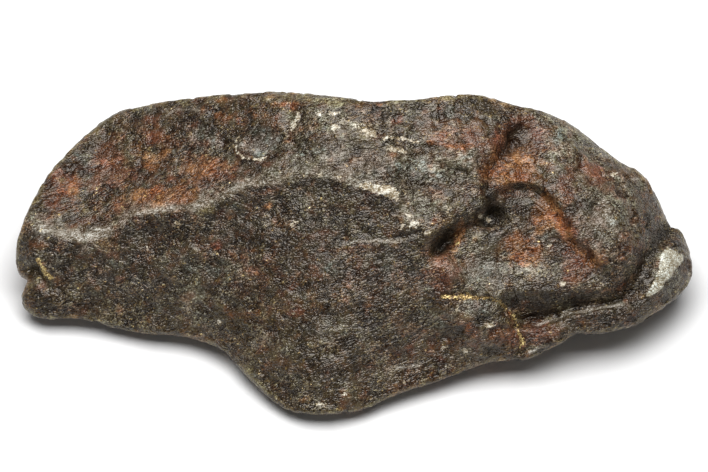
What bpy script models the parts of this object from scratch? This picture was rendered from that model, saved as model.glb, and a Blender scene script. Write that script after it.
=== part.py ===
"""Iron meteorite: one natural lump of nickel-iron, about 141 mm long, lying on a small flat spot.

The stone is described as it is seen from a steep viewpoint in front of it. Over that picture plane
the near side and the far side are each one height field, and both end at the stone's outline.
u runs to the right, v up the picture and w towards the viewer, all in millimetres. to_stone turns
them into the stone's own x, y and z. The main ridge, the valley, the hollow with its block, the
crack, the lip and the oval pit are lumps, furrows and steps on the near side.
"""

import math
from dataclasses import dataclass

import bpy
import numpy as np


@dataclass(frozen=True)
class Lump:
    """An oval swelling, or a hollow where its height is negative. Its turn is in degrees."""

    height: float
    centre: tuple
    radii: tuple
    turn: float = 0.0
    flatness: float = 1.0


@dataclass(frozen=True)
class Furrow:
    """A groove along a path, with its depth at both ends and the share over which each runs out."""

    path: list
    depth: tuple
    half_width: float
    run_out: float


# Sizes, in millimetres unless a name says otherwise
MM = 0.001
VIEW_ELEVATION = math.radians(55)
LEAN_SIN = math.sin(VIEW_ELEVATION)
LEAN_COS = math.cos(VIEW_ELEVATION)
MIDDLE_HEIGHT = 20.0
RIM_ROUND_NEAR = 1.1
RIM_ROUND_FAR = 5.0
LEAST_THICKNESS = 2.5
GRID_ALONG = 260
GRID_ACROSS = 130
RIM_CROWDING = 0.03
RIM_STEP = 4
CURVE_STEPS = 4
RING_STEPS = 3
SKIN_VOXEL = 0.75
FACE_SHARE = 0.105
BENCH_SIZE = 200.0
BENCH_DEPTH = 20.0
SHARP_EDGE = math.radians(40)

# Roughness of the skin, as (height, size) of each layer of swells
SWELLS = [(0.55, 13.0), (0.32, 6.0), (0.16, 3.0)]
FAR_ROUGHNESS = 1.3
GRAIN_GAIN = 1.6
HASH_AXES = (73856093, 19349663, 83492791)
HASH_SEED = 2654435761
HASH_MIX = (2246822519, 3266489917)

# Outline seen from the viewpoint, as four sides of (u, v)
LEFT_SIDE = [
    (-63.0, -13.8), (-65.5, -13.5), (-67.6, -12.4), (-68.7, -11.2), (-69.2, -9.1), (-68.7, -7.5),
    (-67.9, -5.8), (-69.1, -5.0), (-69.9, -3.7), (-70.4, -1.2), (-70.3, 1.2), (-69.6, 3.7),
    (-68.3, 7.5), (-66.6, 11.2), (-63.9, 16.2),
]
TOP_SIDE = [
    (-63.9, 16.2), (-60.6, 19.9), (-55.6, 24.9), (-50.8, 28.6), (-48.1, 29.7), (-43.1, 30.8),
    (-33.2, 32.4), (-20.7, 33.3), (-15.8, 33.5), (-10.8, 33.2), (-0.8, 32.0), (4.1, 31.4),
    (9.1, 31.6), (19.1, 32.5), (24.1, 32.8), (29.0, 32.0), (34.0, 30.4), (39.0, 29.5),
    (44.0, 27.3), (48.9, 24.0), (53.9, 19.8), (58.9, 17.1), (61.4, 14.9),
]
RIGHT_SIDE = [
    (61.4, -13.2), (63.9, -11.7), (67.4, -8.9), (69.4, -6.6), (70.2, -4.6), (70.3, -2.6),
    (69.5, 1.2), (68.8, 3.3), (67.5, 4.8), (66.3, 5.0), (65.3, 6.3), (63.9, 10.0), (61.4, 14.9),
]
BOTTOM_SIDE = [
    (-63.0, -13.8), (-58.1, -13.7), (-53.1, -14.5), (-48.1, -16.1), (-40.7, -17.0),
    (-35.7, -17.4), (-30.7, -18.8), (-27.6, -19.9), (-25.7, -21.8), (-20.7, -27.2),
    (-18.3, -29.6), (-15.8, -31.4), (-13.3, -32.7), (-8.3, -33.5), (-3.3, -33.4), (1.7, -32.6),
    (6.6, -30.3), (11.6, -28.4), (16.6, -26.9), (21.6, -25.0), (26.5, -23.2), (31.5, -22.3),
    (35.7, -22.3), (40.7, -19.9), (43.3, -18.7), (45.0, -17.4), (46.5, -16.6), (48.9, -17.0),
    (51.4, -16.7), (54.5, -16.1), (58.5, -14.9), (61.4, -13.2),
]

# Main ridge: its run across the face (u, v), the calmer run that it follows further off, its
# height (u, w), and how the faces above and below fall away from it
RIDGE_RUN = [
    (-72, 6.5), (-67, 5.3), (-64.7, 4.6), (-60.4, 2.7), (-53.3, 2.3), (-49.2, 4.1), (-45.8, 7.5),
    (-40.9, 8.7), (-34.6, 9.3), (-29.2, 10.6), (-25.1, 12.4), (-19.5, 14.1), (-14.7, 14.9),
    (-7.1, 16.0), (-2.3, 15.1), (1.9, 13.7), (5.4, 13.0), (8.1, 11.9), (10.4, 7.8), (14.2, 3.6),
    (20, 6.0), (26, 8.0), (38, 8), (50, 3), (60, -1), (72, -6),
]
RIDGE_CALM_RUN = [
    (-72, 5), (-55, 4), (-35, 9.5), (-10, 15), (10, 10), (26, 8), (38, 8), (50, 3), (60, -1),
    (72, -6),
]
RIDGE_HEIGHT = [
    (-72, -10.5), (-66, -8.0), (-52, -4.8), (-30, 1.0), (-8, 5.9), (8, 7.2), (16, 6.8),
    (26, 5.5), (38, 4.0), (50, 3.4), (58, 0.6), (64, -4), (72, -11),
]
FALL_ABOVE = [
    (-72, 0.52), (-62, 0.62), (-30, 0.55), (-16, 0.46), (-4, 0.31), (14, 0.28), (26, 0.42),
    (38, 0.5), (50, 0.68), (60, 0.8), (72, 0.9),
]
FALL_BELOW = [
    (-72, 0.18), (-60, 0.18), (-52, 0.24), (-40, 0.23), (-30, 0.21), (-20, 0.09), (-8, 0.04),
    (10, 0.15), (26, 0.23), (38, 0.22), (50, 0.40), (60, 0.5), (72, 0.5),
]
RIDGE_ROUNDING = [
    (-72, 3.0), (-56, 2.2), (-48, 1.6), (-30, 1.2), (-8, 1.5), (8, 1.6), (14, 1.5), (20, 3.0),
    (30, 6), (50, 10), (72, 6),
]
RIDGE_WAVE_REACH = 9.0

# Upper left face: its dish and swells, the oval pit with its raised rim, and the gully beside the spur
UPPER_FACE = [
    Lump(-1.3, (-42, 19), (17, 8), 12),
    Lump(-0.5, (-60, 14), (5, 4), 45),
    Lump(0.4, (-33, 28), (9, 3), 5),
]
OVAL_PIT = [
    Lump(-1.5, (-18.6, 22.6), (3.9, 3.0), 25, 2.5),
    Lump(0.45, (-18.8, 22.4), (5.2, 4.2), 25, 3),
    Lump(-0.45, (-18.6, 22.6), (4.1, 3.2), 25, 3),
]
GULLY = Furrow([(-12.8, 32.5), (-13.4, 28.0), (-13.6, 24.0), (-12.8, 20.5)], (0.8, 0.8), 1.5, 0.4)

# Front face: shallow hollows and swells, and a thin ledge that steps down at the spur's toe
FRONT_FACE = [
    Lump(-1.0, (-22, 8.5), (14, 4), 20),
    Lump(-0.7, (-45, 2.5), (7, 3.5), 15),
    Lump(0.9, (-33, -6), (14, 7), 10),
    Lump(0.8, (-2, -12), (18, 9), 8),
    Lump(-0.7, (10, -22), (8, 4), 18),
    Lump(0.6, (-8, -26), (8, 5)),
]
TOE_LEDGE = [(-1.0, 2.2), (5.0, 2.5), (10.0, 2.4), (15.1, 3.3)]
TOE_LEDGE_HEIGHT = 0.3
TOE_LEDGE_EDGE = 1.2
TOE_LEDGE_REACH = 4.0
TOE_LEDGE_RUN_OUT = 0.25

# Spur in the middle, the hump behind its right end and the crease between them
SPUR = [
    Lump(1.0, (-7, 24), (4.5, 7), -10),
    Lump(1.0, (6, 20), (10, 7), -20),
    Lump(-0.8, (11, 28.5), (7, 2.6), 5),
    Lump(1.1, (17.2, 8.9), (5.6, 4.6), 35, 1.4),
]
HUMP = [
    Lump(2.6, (25.2, 21.2), (8.5, 9.5), 0, 1.4),
    Lump(-0.8, (17, 17.5), (7, 2.4), -35),
]
PLATE_CREASE = Furrow([(16.0, 15.4), (19.4, 14.2), (21.8, 11.6), (22.3, 8.2)], (0.5, 0.5), 1.0, 0.3)

# Winding valley right of the hump, its wide floor and the hole at its head
VALLEY = Furrow(
    [
        (34.6, 27.2), (32.8, 23.0), (29.7, 18.3), (28.0, 13.1), (28.2, 8.5), (24.1, 6.0),
        (20.3, 3.5), (17.8, 0.6), (15.8, -1.9),
    ],
    (1.1, 2.4), 1.5, 0.12,
)
VALLEY_FLOOR = [
    Lump(-1.5, (33.6, 17.3), (6.4, 5.0), 0, 1.5),
    Lump(-2.4, (34.0, 23.1), (4.6, 2.2), 40, 1.3),
]

# Domed right end, and the strips where the top edge turns back
DOME = [
    Lump(1.6, (51.5, 8.5), (8, 7.5), -30, 1.3),
    Lump(0.8, (57.0, 0.0), (4.5, 5), -30),
    Lump(1.0, (43.0, 17.5), (6, 5), -30),
]
REAR_STRIPS = [
    [(-22.0, 33.4), (-15.5, 31.7), (-6.0, 30.6), (1.0, 30.2), (8.5, 31.6)],
    [(36.5, 30.0), (40.5, 27.2), (44.0, 23.8), (50.0, 19.2), (57.5, 16.6)],
]
REAR_STRIP_FALL = 0.9
REAR_STRIP_RUN_OUT = 0.15

# Hollow and the block that lies sunk in it: the top's level and falls, and its front face
HOLLOW = [
    (28.2, 11.0), (30.5, 13.1), (34.2, 13.9), (37.7, 13.5), (41.5, 10.2), (43.8, 6.4),
    (45.2, 2.7), (48.9, 0.6), (50.8, -2.7), (55, -6.5), (54.5, -10.5), (51, -11.4),
    (45.2, -12.3), (42.3, -13.5), (36.5, -15.4), (33.5, -14.5), (31.3, -11.6), (28.2, -9.7),
    (24.5, -8.3), (21.5, -5.5), (19.8, -1.0), (20.3, 3.2), (24.1, 5.6), (27.4, 8.0),
]
HOLLOW_DEPTH = 2.6
HOLLOW_EDGE = 2.2
HOLLOW_ROUNDING = 1.8
BLOCK_LEVEL = 3.2
BLOCK_TOP_FALL = 0.34
BLOCK_TOP_FROM = -7.2
BLOCK_FACE_FALL = 0.9
BLOCK_FACE_FROM = -8.2
BLOCK_TILT = 0.05
BLOCK_TILT_FROM = 38
BLOCK_END_TILT = 0.10
BLOCK_END_FROM = 42
BLOCK_FACE_STARTS = 31.5
BLOCK_CORNER = 0.9
BLOCK_SWELL = [Lump(0.7, (46, -3.5), (5, 3), -10)]

# Deepest holes, the bulges beside the block, and the crack below it
HOLES = [
    Lump(-3.0, (29.6, 8.4), (3.0, 2.4), 15, 1.3),
    Lump(-0.9, (35.0, 9.5), (4.0, 2.8), -10, 1.3),
    Lump(-3.0, (18.6, 1.8), (3.4, 1.7), 48, 1.2),
]
BULGES = [
    Lump(1.3, (20.6, -4.2), (2.7, 3.6), 5, 1.2),
    Lump(2.6, (26.3, -14.8), (6.6, 5.4), -20, 1.3),
    Lump(0.9, (18.5, -9.5), (5, 4)),
]
CRACK = Furrow(
    [
        (18.0, -8.9), (24.1, -8.5), (28.2, -9.7), (30.5, -10.4), (31.3, -12.2), (33.4, -15.6),
        (34.8, -18.0), (34.4, -20.5), (33.0, -22.4),
    ],
    (0.6, 0.9), 0.6, 0.08,
)

# Lip round the right end. Each pair is its value at the side and, past the turn, at the foot
LIP_GROOVE = [
    (66.6, 6.2), (65.7, 5.0), (63.5, 2.7), (61.0, -0.8), (59.1, -4.6), (56.6, -8.6),
    (51.0, -11.2), (45.2, -12.0), (42.3, -13.3), (35.7, -15.6),
]
LIP_TURN = (0.42, 0.62)
LIP_GROOVE_DEPTH = (2.2, 0.3)
LIP_GROOVE_HALF_WIDTH = 1.9
LIP_RISE = (1.5, 0.45)
LIP_CREST_OFFSET = (5.0, 1.6)
LIP_REACH = 5.0
LIP_RUN_OUT = 0.07

# Left end: two knobs, the notch that parts them and the dark hole beside it
NOSE = [
    Lump(1.2, (-67.0, -0.6), (3.2, 3.4)),
    Lump(1.2, (-66.2, -9.6), (4.0, 2.8)),
    Lump(-1.6, (-66.2, -3.4), (1.1, 1.0)),
]
NOSE_NOTCH = Furrow(
    [(-71.5, -5.6), (-67.4, -5.6), (-65.6, -4.2), (-64.0, -6.8), (-62.4, -8.2)], (1.3, 1.3), 0.9, 0.25
)

# Back: how far it stands off its own top edge, as lumps over (x, z)
WALL_SLACK = 0.6
WALL_UNDERCUT = 0.10
WALL_UNDERCUT_BELOW = 14
REAR_WALL = [
    Lump(1.2, (-20, 18), (30, 12)),
    Lump(-1.8, (-2, 24), (9, 7), 20, 1.5),
    Lump(-1.6, (22, 20), (8, 9), -15, 1.5),
    Lump(-1.4, (-38, 10), (9, 6), 10, 1.5),
    Lump(1.6, (10, 12), (7, 6), 0, 1.3),
    Lump(1.2, (42, 15), (9, 5), -20, 1.3),
    Lump(-1.2, (-18, 27), (6, 4), 0, 1.5),
]

# Belly: its level, the slopes that lift its ends and its front, and lumps over (x, y)
BELLY_LEVEL = -2.6
BELLY_END_SLOPE = 0.10
BELLY_END_FROM = 26
BELLY_END_ROUNDING = 2.0
BELLY_FRONT_SLOPE = 0.16
BELLY_FRONT_FROM = 10
BELLY_FRONT_ROUNDING = 1.5
BELLY_TO_WALL_ROUNDING = 7.0
BELLY = [
    Lump(1.0, (-44, 12), (9, 7), 20, 1.3),
    Lump(1.0, (46, 6), (8, 6), 0, 1.3),
    Lump(-0.9, (-34, -6), (8, 5), 10),
    Lump(-0.9, (40, -8), (7, 5), -10),
    Lump(0.6, (2, 18), (10, 5), 0, 1.5),
]
FAR_SIDE_PASSES = 3


def smooth_line(points, at):
    """Cubic line through (x, y) points with x rising, read at the given places."""
    x, y = np.array(points, float).T
    slope = np.gradient(y, x)
    at = np.clip(at, x[0], x[-1])
    i = np.clip(np.searchsorted(x, at) - 1, 0, len(x) - 2)
    h = x[i + 1] - x[i]
    t = (at - x[i]) / h
    start = (1 + 2 * t) * (1 - t) ** 2 * y[i] + t * (1 - t) ** 2 * h * slope[i]
    end = t * t * (3 - 2 * t) * y[i + 1] - t * t * (1 - t) * h * slope[i + 1]
    return start + end


def smooth_path(points, shares):
    """Places along a smooth curve through the points, at the given shares of its length."""
    points = np.array(points, float)
    gaps = np.sqrt(np.hypot(*np.diff(points, axis=0).T))
    knots = np.concatenate([[0], np.cumsum(gaps)])
    fine = np.linspace(0, knots[-1], 40 * len(points))
    curve = np.stack([smooth_line(np.stack([knots, axis], 1), fine) for axis in points.T], 1)
    run = np.concatenate([[0], np.cumsum(np.hypot(*np.diff(curve, axis=0).T))])
    return np.stack([np.interp(shares * run[-1], run, axis) for axis in curve.T], 1)


def smooth_step(x):
    """0 below 0, 1 above 1, and an S curve between."""
    x = np.clip(x, 0, 1)
    return x * x * (3 - 2 * x)


def soft_max(a, b, rounding):
    """The larger of two heights, with the corner between them rounded."""
    return 0.5 * (a + b + np.sqrt((a - b) ** 2 + rounding ** 2))


def soft_min(a, b, rounding):
    """The smaller of two heights, with the corner between them rounded."""
    return -soft_max(-a, -b, rounding)


def raised(a, b, lumps):
    """Sum of the lumps' heights at the places (a, b). flatness makes tops flatter and sides steeper."""
    total = np.zeros(np.shape(a))
    for lump in lumps:
        angle = math.radians(lump.turn)
        da = a - lump.centre[0]
        db = b - lump.centre[1]
        p = (da * math.cos(angle) + db * math.sin(angle)) / lump.radii[0]
        q = (db * math.cos(angle) - da * math.sin(angle)) / lump.radii[1]
        total += lump.height * np.exp(-((p * p + q * q) ** lump.flatness))
    return total


def nearest(u, v, path):
    """Distance to a path, side of it (positive on the left) and share of the path passed."""
    path = np.asarray(path, float)
    lengths = np.hypot(*np.diff(path, axis=0).T)
    run = np.concatenate([[0], np.cumsum(lengths)])
    best = np.full(np.shape(u), np.inf)
    side = np.zeros(np.shape(u))
    passed = np.zeros(np.shape(u))
    for start, step, length, before in zip(path, np.diff(path, axis=0), lengths, run):
        du = u - start[0]
        dv = v - start[1]
        t = np.clip((du * step[0] + dv * step[1]) / length ** 2, 0, 1)
        distance = np.hypot(du - t * step[0], dv - t * step[1])
        closer = distance < best
        best = np.where(closer, distance, best)
        side = np.where(closer, np.sign(step[0] * dv - step[1] * du), side)
        passed = np.where(closer, (before + t * length) / run[-1], passed)
    return best, best * side, passed


def follow(u, v, path):
    """nearest, for a smooth curve through the path's points."""
    return nearest(u, v, smooth_path(path, np.linspace(0, 1, CURVE_STEPS * len(path))))


def fade_ends(passed, share):
    """1 along a path, falling to 0 over the given share of it at both ends."""
    return smooth_step(passed / share) * smooth_step((1 - passed) / share)


def cut(u, v, furrow):
    """Depth of a furrow at the places (u, v): deepest on its path and smooth to both sides."""
    distance, _, passed = follow(u, v, furrow.path)
    start, end = furrow.depth
    depth = start + (end - start) * smooth_step(passed)
    return depth * np.exp(-((distance / furrow.half_width) ** 2)) * fade_ends(passed, furrow.run_out)


def inside(u, v, polygon, edge):
    """1 inside a closed outline and 0 outside, changing over the edge's width."""
    ring = smooth_path(polygon + polygon[:1], np.linspace(0, 1, RING_STEPS * len(polygon)))
    within = np.zeros(np.shape(u), bool)
    for (u0, v0), (u1, v1) in zip(ring[:-1], ring[1:]):
        rise = v1 - v0 if v1 != v0 else 1e-9
        within ^= ((v0 > v) != (v1 > v)) & (u < (u1 - u0) * (v - v0) / rise + u0)
    distance = nearest(u, v, ring)[0]
    return smooth_step(0.5 + np.where(within, distance, -distance) / edge)


def grain(x, y, z, size, seed):
    """Smooth random swells of about the given size, between -1 and 1, the same on each run.

    Each corner of a cubic lattice has a random slope, and the slopes' planes are blended between them.
    """
    spot = np.stack([x, y, z], -1) / size
    cell = np.floor(spot).astype(np.int64)
    part = spot - cell
    blend = part * part * part * (part * (part * 6 - 15) + 10)
    total = np.zeros(np.shape(x))
    for corner in np.ndindex(2, 2, 2):
        place = cell + corner
        mixed = np.bitwise_xor.reduce(place * HASH_AXES, -1)
        mixed = (mixed + seed * HASH_SEED) & 0xFFFFFFFF
        mixed = ((mixed ^ (mixed >> 15)) * HASH_MIX[0]) & 0xFFFFFFFF
        mixed = ((mixed ^ (mixed >> 13)) * HASH_MIX[1]) & 0xFFFFFFFF
        turn = (mixed & 0xFFFF) / 65536 * 2 * math.pi
        rise = ((mixed >> 16) & 0xFFFF) / 32768 - 1
        flat = np.sqrt(1 - rise * rise)
        away = part - corner
        plane = (away[..., 0] * np.cos(turn) + away[..., 1] * np.sin(turn)) * flat + away[..., 2] * rise
        total += np.where(corner, blend, 1 - blend).prod(-1) * plane
    return GRAIN_GAIN * total


def roof(u, v):
    """The main ridge with the faces that fall away above and below it."""
    calm = smooth_line(RIDGE_CALM_RUN, u)
    wave = (smooth_line(RIDGE_RUN, u) - calm) * np.exp(-((v - calm) / RIDGE_WAVE_REACH) ** 2)
    off = v - calm - wave
    above = smooth_line(FALL_ABOVE, u)
    below = smooth_line(FALL_BELOW, u)
    rounding = smooth_line(RIDGE_ROUNDING, u)
    bend = np.sqrt(off * off + rounding * rounding) - rounding
    return smooth_line(RIDGE_HEIGHT, u) + 0.5 * (below - above) * off - 0.5 * (above + below) * bend


def upper_left_face(u, v):
    """The dished face above the ridge, with the oval pit and the gully beside the spur."""
    return raised(u, v, UPPER_FACE + OVAL_PIT) - cut(u, v, GULLY)


def front_face(u, v):
    """Shallow hollows and swells of the big front face, and the thin ledge at the spur's toe."""
    _, side, passed = follow(u, v, TOE_LEDGE)
    tread = smooth_step(0.5 - side / TOE_LEDGE_EDGE)
    tread *= np.exp(-((np.minimum(side, 0) / TOE_LEDGE_REACH) ** 2))
    return raised(u, v, FRONT_FACE) + TOE_LEDGE_HEIGHT * tread * fade_ends(passed, TOE_LEDGE_RUN_OUT)


def spur_and_hump(u, v):
    """The broad spur in the middle, the hump behind its right end and the crease between them."""
    return raised(u, v, SPUR + HUMP) - cut(u, v, PLATE_CREASE)


def valley(u, v):
    """The winding valley, deeper towards its foot, its wide floor and the hole at its head."""
    return raised(u, v, VALLEY_FLOOR) - cut(u, v, VALLEY)


def dome(u, v):
    """Swellings of the domed right end, and the two strips where the top edge turns back."""
    w = raised(u, v, DOME)
    for strip in REAR_STRIPS:
        _, side, passed = follow(u, v, strip)
        w -= REAR_STRIP_FALL * np.maximum(side, 0) * fade_ends(passed, REAR_STRIP_RUN_OUT)
    return w


def sink_block(u, v, w):
    """Lets the block into its hollow: a level top, then a face that falls back to the lip."""
    tilt = BLOCK_TILT * (u - BLOCK_TILT_FROM) + BLOCK_END_TILT * np.maximum(u - BLOCK_END_FROM, 0)
    top = BLOCK_LEVEL - BLOCK_TOP_FALL * (v - BLOCK_TOP_FROM) - tilt + raised(u, v, BLOCK_SWELL)
    top = soft_max(top, w - HOLLOW_DEPTH, HOLLOW_ROUNDING)
    forward = v - BLOCK_FACE_FROM + np.maximum(BLOCK_FACE_STARTS - u, 0)
    face = BLOCK_LEVEL - tilt + BLOCK_FACE_FALL * forward
    return w + inside(u, v, HOLLOW, HOLLOW_EDGE) * (soft_min(top, face, BLOCK_CORNER) - w)


def lip(u, v):
    """The groove round the right end and the raised lip outside it, both fainter along the foot."""
    distance, side, passed = follow(u, v, LIP_GROOVE)
    lower = smooth_step((passed - LIP_TURN[0]) / (LIP_TURN[1] - LIP_TURN[0]))
    depth, rise, crest = (
        start + (end - start) * lower for start, end in (LIP_GROOVE_DEPTH, LIP_RISE, LIP_CREST_OFFSET)
    )
    groove = depth * np.exp(-((distance / LIP_GROOVE_HALF_WIDTH) ** 2))
    ledge = rise * smooth_step(side / crest) * np.exp(-((np.maximum(side - crest, 0) / LIP_REACH) ** 2))
    return (ledge - groove) * fade_ends(passed, LIP_RUN_OUT)


def near_side(u, v):
    """Height of the side that faces the viewer."""
    w = roof(u, v) + upper_left_face(u, v) + front_face(u, v) + spur_and_hump(u, v)
    w += valley(u, v) + dome(u, v)
    w = sink_block(u, v, w)
    w += raised(u, v, HOLES + BULGES + NOSE) - cut(u, v, CRACK) - cut(u, v, NOSE_NOTCH)
    return w + lip(u, v)


def rear_wall(x, z):
    """How far the back bulges out or in from its own top edge, with thumb-print hollows."""
    return raised(x, z, REAR_WALL) - WALL_UNDERCUT * np.maximum(WALL_UNDERCUT_BELOW - z, 0)


def underside(x, y):
    """Height of the belly: level in the middle and rising towards the ends and the front."""
    z = np.full(np.shape(x), BELLY_LEVEL)
    z = soft_max(z, BELLY_END_SLOPE * (-x - BELLY_END_FROM), BELLY_END_ROUNDING)
    z = soft_max(z, BELLY_END_SLOPE * (x - BELLY_END_FROM), BELLY_END_ROUNDING)
    z = soft_max(z, BELLY_FRONT_SLOPE * (-y - BELLY_FRONT_FROM), BELLY_FRONT_ROUNDING)
    return z + raised(x, y, BELLY)


def far_side(u, v, wall_line):
    """Height of the side turned away: the rear wall above and the belly below.

    Both are given over the stone's own planes, so a few passes settle where each one lies.
    """
    wall = (v * LEAN_SIN - wall_line) / LEAN_COS
    belly = (-MIDDLE_HEIGHT - v * LEAN_COS) / LEAN_SIN
    for _ in range(FAR_SIDE_PASSES):
        z = MIDDLE_HEIGHT + v * LEAN_COS + wall * LEAN_SIN
        wall = (v * LEAN_SIN - wall_line - rear_wall(u, z)) / LEAN_COS
        y = v * LEAN_SIN - belly * LEAN_COS
        belly = (underside(u, y) - MIDDLE_HEIGHT - v * LEAN_COS) / LEAN_SIN
    return soft_max(wall, belly, BELLY_TO_WALL_ROUNDING)


def crowded(count):
    """Shares from 0 to 1, set closer together at both ends, where the rim turns over."""
    t = np.linspace(0, 1, count)
    from_end = np.minimum(t, 1 - t)
    crowded_part = from_end ** 2 / (2 * RIM_CROWDING)
    even_part = from_end - RIM_CROWDING / 2
    eased = np.where(from_end < RIM_CROWDING, crowded_part, even_part) / (1 - RIM_CROWDING)
    return np.where(t < 0.5, eased, 1 - eased)


def picture_grid():
    """A grid of (u, v) filling the outline, each row blended from the four sides."""
    s = crowded(GRID_ALONG)
    t = crowded(GRID_ACROSS)
    bottom = smooth_path(BOTTOM_SIDE, s)[:, None]
    top = smooth_path(TOP_SIDE, s)[:, None]
    left = smooth_path(LEFT_SIDE, t)[None]
    right = smooth_path(RIGHT_SIDE, t)[None]
    s = s[:, None, None]
    t = t[None, :, None]
    low = (1 - s) * bottom[0] + s * bottom[-1]
    high = (1 - s) * top[0] + s * top[-1]
    return (1 - t) * bottom + t * top + (1 - s) * left + s * right - (1 - t) * low - t * high


def rim_distance(grid):
    """Distance of each grid point from the outline."""
    ring = np.concatenate([grid[:, 0], grid[-1, 1:], grid[-2::-1, -1], grid[0, -2::-1]])
    return nearest(grid[..., 0], grid[..., 1], ring[::RIM_STEP])[0]


def close_rim(face, rim, distance, rounding):
    """Turns a face over to the rim with a quarter-round of the given size."""
    off = 1 - np.clip(distance / rounding, 0, 1)
    return rim + (face - rim) * np.sqrt(1 - off * off)


def to_stone(u, v, w):
    """The stone's own place of a picture-plane place."""
    y = v * LEAN_SIN - w * LEAN_COS
    z = MIDDLE_HEIGHT + v * LEAN_COS + w * LEAN_SIN
    return np.stack([u, y, z], -1)


def roughen(u, v, w, outward):
    """Natural unevenness, from broad swells down to lumps a few millimetres wide."""
    x, y, z = np.moveaxis(to_stone(u, v, w), -1, 0)
    for seed, (height, size) in enumerate(SWELLS, 1):
        w = w + outward * height * grain(x, y, z, size, seed)
    return w


def skin():
    """Points and faces of the whole stone: near side, far side and the outline they share."""
    grid = picture_grid()
    u, v = grid[..., 0], grid[..., 1]
    distance = rim_distance(grid)
    distance[[0, -1]] = 0
    distance[:, [0, -1]] = 0
    near = near_side(u, v)
    top_u, top_v = np.array(TOP_SIDE).T
    rim = near - RIM_ROUND_NEAR
    top_w = near_side(top_u, top_v) - RIM_ROUND_NEAR
    wall_line = np.interp(u, top_u, top_v * LEAN_SIN - top_w * LEAN_COS) + WALL_SLACK
    far = np.minimum(far_side(u, v, wall_line), near - LEAST_THICKNESS)
    near = close_rim(roughen(u, v, near, 1), rim, distance, RIM_ROUND_NEAR)
    far = close_rim(roughen(u, v, far, -FAR_ROUGHNESS), rim, distance, RIM_ROUND_FAR)
    return join_sides(to_stone(u, v, near), to_stone(u, v, far))


def join_sides(near, far):
    """One closed mesh of both sides, which use the same points along the outline."""
    rows, columns = near.shape[:2]
    near_id = np.arange(rows * columns).reshape(rows, columns)
    far_id = near_id.copy()
    far_id[1:-1, 1:-1] = rows * columns + np.arange((rows - 2) * (columns - 2)).reshape(rows - 2, -1)
    points = np.concatenate([near.reshape(-1, 3), far[1:-1, 1:-1].reshape(-1, 3)])
    faces = np.concatenate([quads(near_id), quads(far_id)[:, ::-1]])
    return points, faces


def quads(ids):
    """The four-sided faces of a grid of point numbers."""
    corners = ids[:-1, :-1], ids[1:, :-1], ids[1:, 1:], ids[:-1, 1:]
    return np.stack([corner.ravel() for corner in corners], 1)


def rusted_iron():
    """Dark brown-grey patina of oiled, rusted iron."""
    material = bpy.data.materials.new("rusted_iron")
    material.use_nodes = True
    shader = material.node_tree.nodes["Principled BSDF"]
    shader.inputs["Base Color"].default_value = (0.060, 0.042, 0.034, 1)
    shader.inputs["Roughness"].default_value = 0.45
    shader.inputs["Metallic"].default_value = 0.35
    return material


def bench():
    """The block below floor level that planes the resting spot flat."""
    bpy.ops.mesh.primitive_cube_add(size=1)
    block = bpy.context.object
    block.name = "bench"
    block.scale = (BENCH_SIZE * MM, BENCH_SIZE * MM, BENCH_DEPTH * MM)
    block.location = (0, 0, -BENCH_DEPTH * MM / 2)
    block.hide_render = True
    block.display_type = "WIRE"
    return block


def rough_stone():
    """The stone before its resting spot is planed."""
    points, faces = skin()
    mesh = bpy.data.meshes.new("iron_meteorite")
    mesh.from_pydata((points * MM).tolist(), [], faces.tolist())
    stone = bpy.data.objects.new("iron_meteorite", mesh)
    bpy.context.collection.objects.link(stone)
    return stone


def finish_stone(stone, floor):
    """Evens the skin, thins its faces, planes the resting spot and centres the stone over it."""
    remesh = stone.modifiers.new("even_skin", "REMESH")
    remesh.mode = "VOXEL"
    remesh.voxel_size = SKIN_VOXEL * MM
    thin = stone.modifiers.new("fewer_faces", "DECIMATE")
    thin.ratio = FACE_SHARE
    thin.use_collapse_triangulate = True
    plane = stone.modifiers.new("resting_spot", "BOOLEAN")
    plane.object = floor
    plane.operation = "DIFFERENCE"
    plane.solver = "EXACT"
    bpy.context.view_layer.update()
    shaped = stone.evaluated_get(bpy.context.evaluated_depsgraph_get())
    mesh = bpy.data.meshes.new_from_object(shaped)
    stone.modifiers.clear()
    stone.data = mesh
    places = np.empty(3 * len(mesh.vertices))
    mesh.vertices.foreach_get("co", places)
    places = places.reshape(-1, 3)
    middle = (places.min(0) + places.max(0)) / 2
    middle[2] = 0
    mesh.vertices.foreach_set("co", (places - middle).ravel())
    mesh.update()
    mesh.shade_smooth()
    mesh.set_sharp_from_angle(angle=SHARP_EDGE)
    mesh.materials.clear()
    mesh.materials.append(rusted_iron())


def main():
    for old in list(bpy.data.objects):
        bpy.data.objects.remove(old)
    stone = rough_stone()
    floor = bench()
    finish_stone(stone, floor)
    bpy.data.objects.remove(floor)


if __name__ == "__main__":
    main()
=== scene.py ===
"""Iron meteorite: the finished look of one natural lump of rusted nickel-iron.

The stone is described over a picture plane that faces a steep viewpoint in front of it. u runs to
the right, v up the picture and w towards the viewer, all in millimetres. The near side and the far
side are heights w over (u, v) that end at one shared outline. Both are worked out on one grid,
joined into a closed mesh and given fine relief along their normals. Colour lies on the mesh as
soft patches and streaks, one layer for each kind of mark, which the finish breaks up finely. Some
layers are the iron's own rust, crust and wear, and some are painted shade and painted highlights.
"""

import logging
import math
from dataclasses import dataclass, replace
from enum import Enum

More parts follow.
